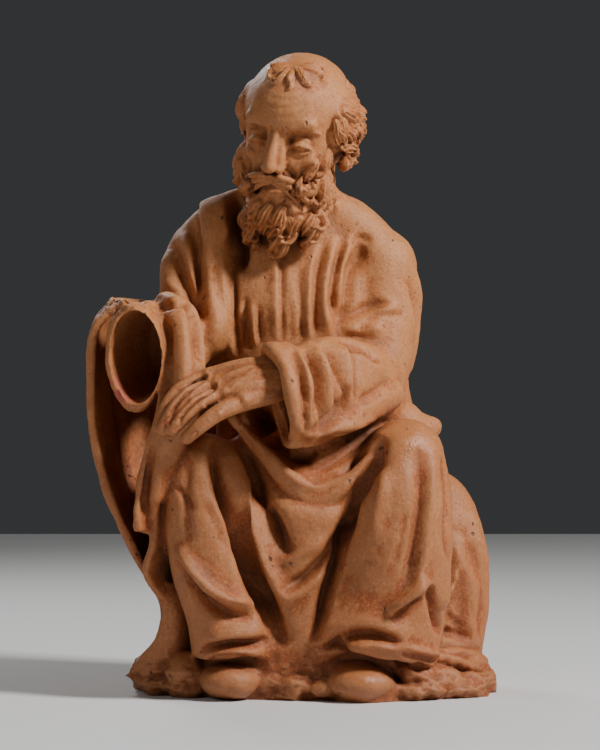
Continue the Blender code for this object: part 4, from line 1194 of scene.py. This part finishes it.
def nearTo(finish, place, centre, size):  # 1 at a centre in parts, 0 at its size away
    offset = finish.node("ShaderNodeVectorMath", {"operation": "DISTANCE"}, outlet=1, i0=place,
                         i1=tuple(value * part for value in centre))
    return (1 - offset / (size * part)).held()


clay = Finish("firedClay")
place = clay.node("ShaderNodeTexCoord", outlet=3)


def patches(scale, detail, roughness=0.5):
    return clay.node("ShaderNodeTexNoise", Vector=place, Scale=scale, Detail=detail, Roughness=roughness)


sunk = clay.node("ShaderNodeAttribute", {"attribute_name": "sunk"}, outlet=2)
air = clay.node("ShaderNodeAttribute", {"attribute_name": "open"}, outlet=2)
up = clay.node("ShaderNodeSeparateXYZ", outlet=2, Vector=place)
broad = patches(7, 5, 0.62)
blotch = patches(26, 7, 0.68)
dust = patches(75, 6, 0.72)
speckle = patches(230, 5, 0.75)
grain = patches(520, 3, 0.7)
streakPlace = clay.node("ShaderNodeMapping", Vector=place, Scale=(1, 1, 0.16))
streak = clay.node("ShaderNodeTexNoise", Vector=streakPlace, Scale=240, Detail=4, Roughness=0.6)
wander = clay.node("ShaderNodeTexNoise", Vector=place, Scale=90, Detail=3, outlet=1)
warped = clay.node("ShaderNodeVectorMath", {"operation": "MULTIPLY_ADD"}, i0=wander, i1=(0.012, 0.012, 0.012),
                   i2=place)
cracks = clay.node("ShaderNodeTexVoronoi", {"feature": "DISTANCE_TO_EDGE"}, Vector=warped, Scale=110)
crackChoice = patches(14, 3).stepped(0.54, 0.66)
crackLine = (1 - cracks.stepped(0.0, 0.05)) * crackChoice * dust.stepped(0.50, 0.58)
fineCells = clay.node("ShaderNodeTexVoronoi", Vector=warped, Scale=210)
finePits = (1 - fineCells.stepped(0.05, 0.34)) * dust.stepped(0.54, 0.64)
largeCells = clay.node("ShaderNodeTexVoronoi", Vector=warped, Scale=58)
largePits = (1 - largeCells.stepped(0.05, 0.20)) * patches(21, 2).stepped(0.57, 0.64)
# painted shade: strongest where little open air reaches the skin and in sunk creases
hollow = ((1 - air).stepped(0.28, 1.0) * 0.95 + sunk.stepped(0.64, 1.0) * 0.35).held()
crest = (1 - sunk).stepped(0.60, 0.95) * air.stepped(0.6, 0.95)
low = 1 - up.stepped(4 * part, 64 * part)
knee, crown, toe = (nearTo(clay, place, *spot) for spot in clayLook["polished"])
worn = (knee + crown + toe).held()
layers = [  # how much of each tone lies over the ones before it
    ("warm", broad.stepped(0.36, 0.62)),
    # painted light: the upper part paler and yellower, towards the top, as if lit more strongly
    ("paintedToplightOchre", (up + (broad - 0.5) * 0.5).stepped(200 * part, 420 * part) * 0.75),
    ("pale", blotch.stepped(0.50, 0.72) * 0.5),
    ("pale", speckle.stepped(0.51, 0.64) * 0.45),
    ("brown", (1 - speckle).stepped(0.50, 0.62) * 0.55),
    ("brown", (1 - blotch).stepped(0.54, 0.74) * 0.55),
    ("brown", (low * (0.35 + blotch)).held() * 0.45),
    ("pale", (crest * (0.3 + dust)).held() * 0.4),
    ("rubbed", worn.stepped(0.1, 0.8) * 0.55),
    ("flake", (crackLine * 0.5 + (dust.stepped(0.64, 0.74) * crackChoice) * 0.5).held()),
    # painted shade: browner where the open air round the skin is shut off
    ("brown", (1 - air).stepped(0.12, 0.6) * 0.45),
    # painted shade in the hollows, varied by the dust pattern
    ("dark", (hollow * (0.60 + dust * 0.5)).held() * 0.72),
    ("dark", (finePits * 0.55 + largePits * 0.8).held()),
    ("paint", (nearTo(clay, place, *clayLook["painted"]) * dust.stepped(0.42, 0.58) * 1.5).held()),
]
base = colour("mid")
for name, share in layers:
    base = clay.mix(share, base, colour(name))
clay.feed("Base Color", base)
rough = clayLook["roughness"] + blotch * 0.22 - worn.stepped(0.1, 0.9) * 0.34 - crest * 0.07 + hollow * 0.15
clay.feed("Roughness", (rough - 0.06).held(0.22, 0.95))
height = (grain * 0.12 + speckle * 0.45 + dust * 0.55 + blotch * 0.45 + streak * 0.22 - finePits * 0.6
          - largePits * 1.3 - crackLine * 0.30)
clay.feed("Normal", clay.node("ShaderNodeBump", Height=height, Strength=0.8, Distance=clayLook["pitDepth"]))
clay.shader.inputs["Specular IOR Level"].default_value = clayLook["specular"]
saint.data.materials.clear()
saint.data.materials.append(clay.material)

studio = {
    "floor": (0.62, 0.61, 0.60, 1),
    "floorMottle": (0.70, 0.69, 0.68, 1),
    "floorRoughness": 0.8,
    "lights": [  # name, place, what it looks at, size, watts
        ("key", (2.5, -1.6, 2.8), (0, 0, 0.45), 0.65, 245),
        ("fill", (-2.3, -1.6, 1.7), (0, 0, 0.4), 1.1, 14),
        ("rim", (-1.0, 1.8, 1.9), (0, 0, 0.5), 1.0, 26),
    ],
    "sky": (0.80, 0.82, 0.85, 1),
    "skyStrength": 0.048,
}

bpy.ops.object.select_all(action="DESELECT")
bpy.ops.mesh.primitive_plane_add(size=8, location=(0, 0, 0))
floor = bpy.context.object
floor.name = "floor"
floorFinish = Finish("paleFloor")
floorPlace = floorFinish.node("ShaderNodeTexCoord", outlet=3)
floorTone = floorFinish.node("ShaderNodeTexNoise", Vector=floorPlace, Scale=3, Detail=3)
floorFinish.feed("Base Color", floorFinish.mix(floorTone * 0.12, studio["floor"], studio["floorMottle"]))
floorFinish.shader.inputs["Roughness"].default_value = studio["floorRoughness"]
floor.data.materials.append(floorFinish.material)

for name, spot, target, size, watts in studio["lights"]:
    light = bpy.data.lights.new(name, "AREA")
    light.size = size
    light.energy = watts
    lamp = newObject(name, light)
    lamp.location = spot
    lamp.rotation_euler = (Vector(target) - Vector(spot)).to_track_quat("-Z", "Y").to_euler()
world = bpy.data.worlds.new("studio")
bpy.context.scene.world = world
world.use_nodes = True
sky = world.node_tree.nodes["Background"]
sky.inputs["Color"].default_value = studio["sky"]
sky.inputs["Strength"].default_value = studio["skyStrength"]

camera = newObject("camera", bpy.data.cameras.new("camera"))
camera.location = (eyeSide, -statue["viewingDistance"], eyeLevel)
camera.rotation_euler = (math.radians(90), 0, 0)
camera.data.sensor_width = 36
camera.data.lens = camera.data.sensor_width * (statue["viewingDistance"] / part) / statue["pictureSpan"]
bpy.context.scene.camera = camera
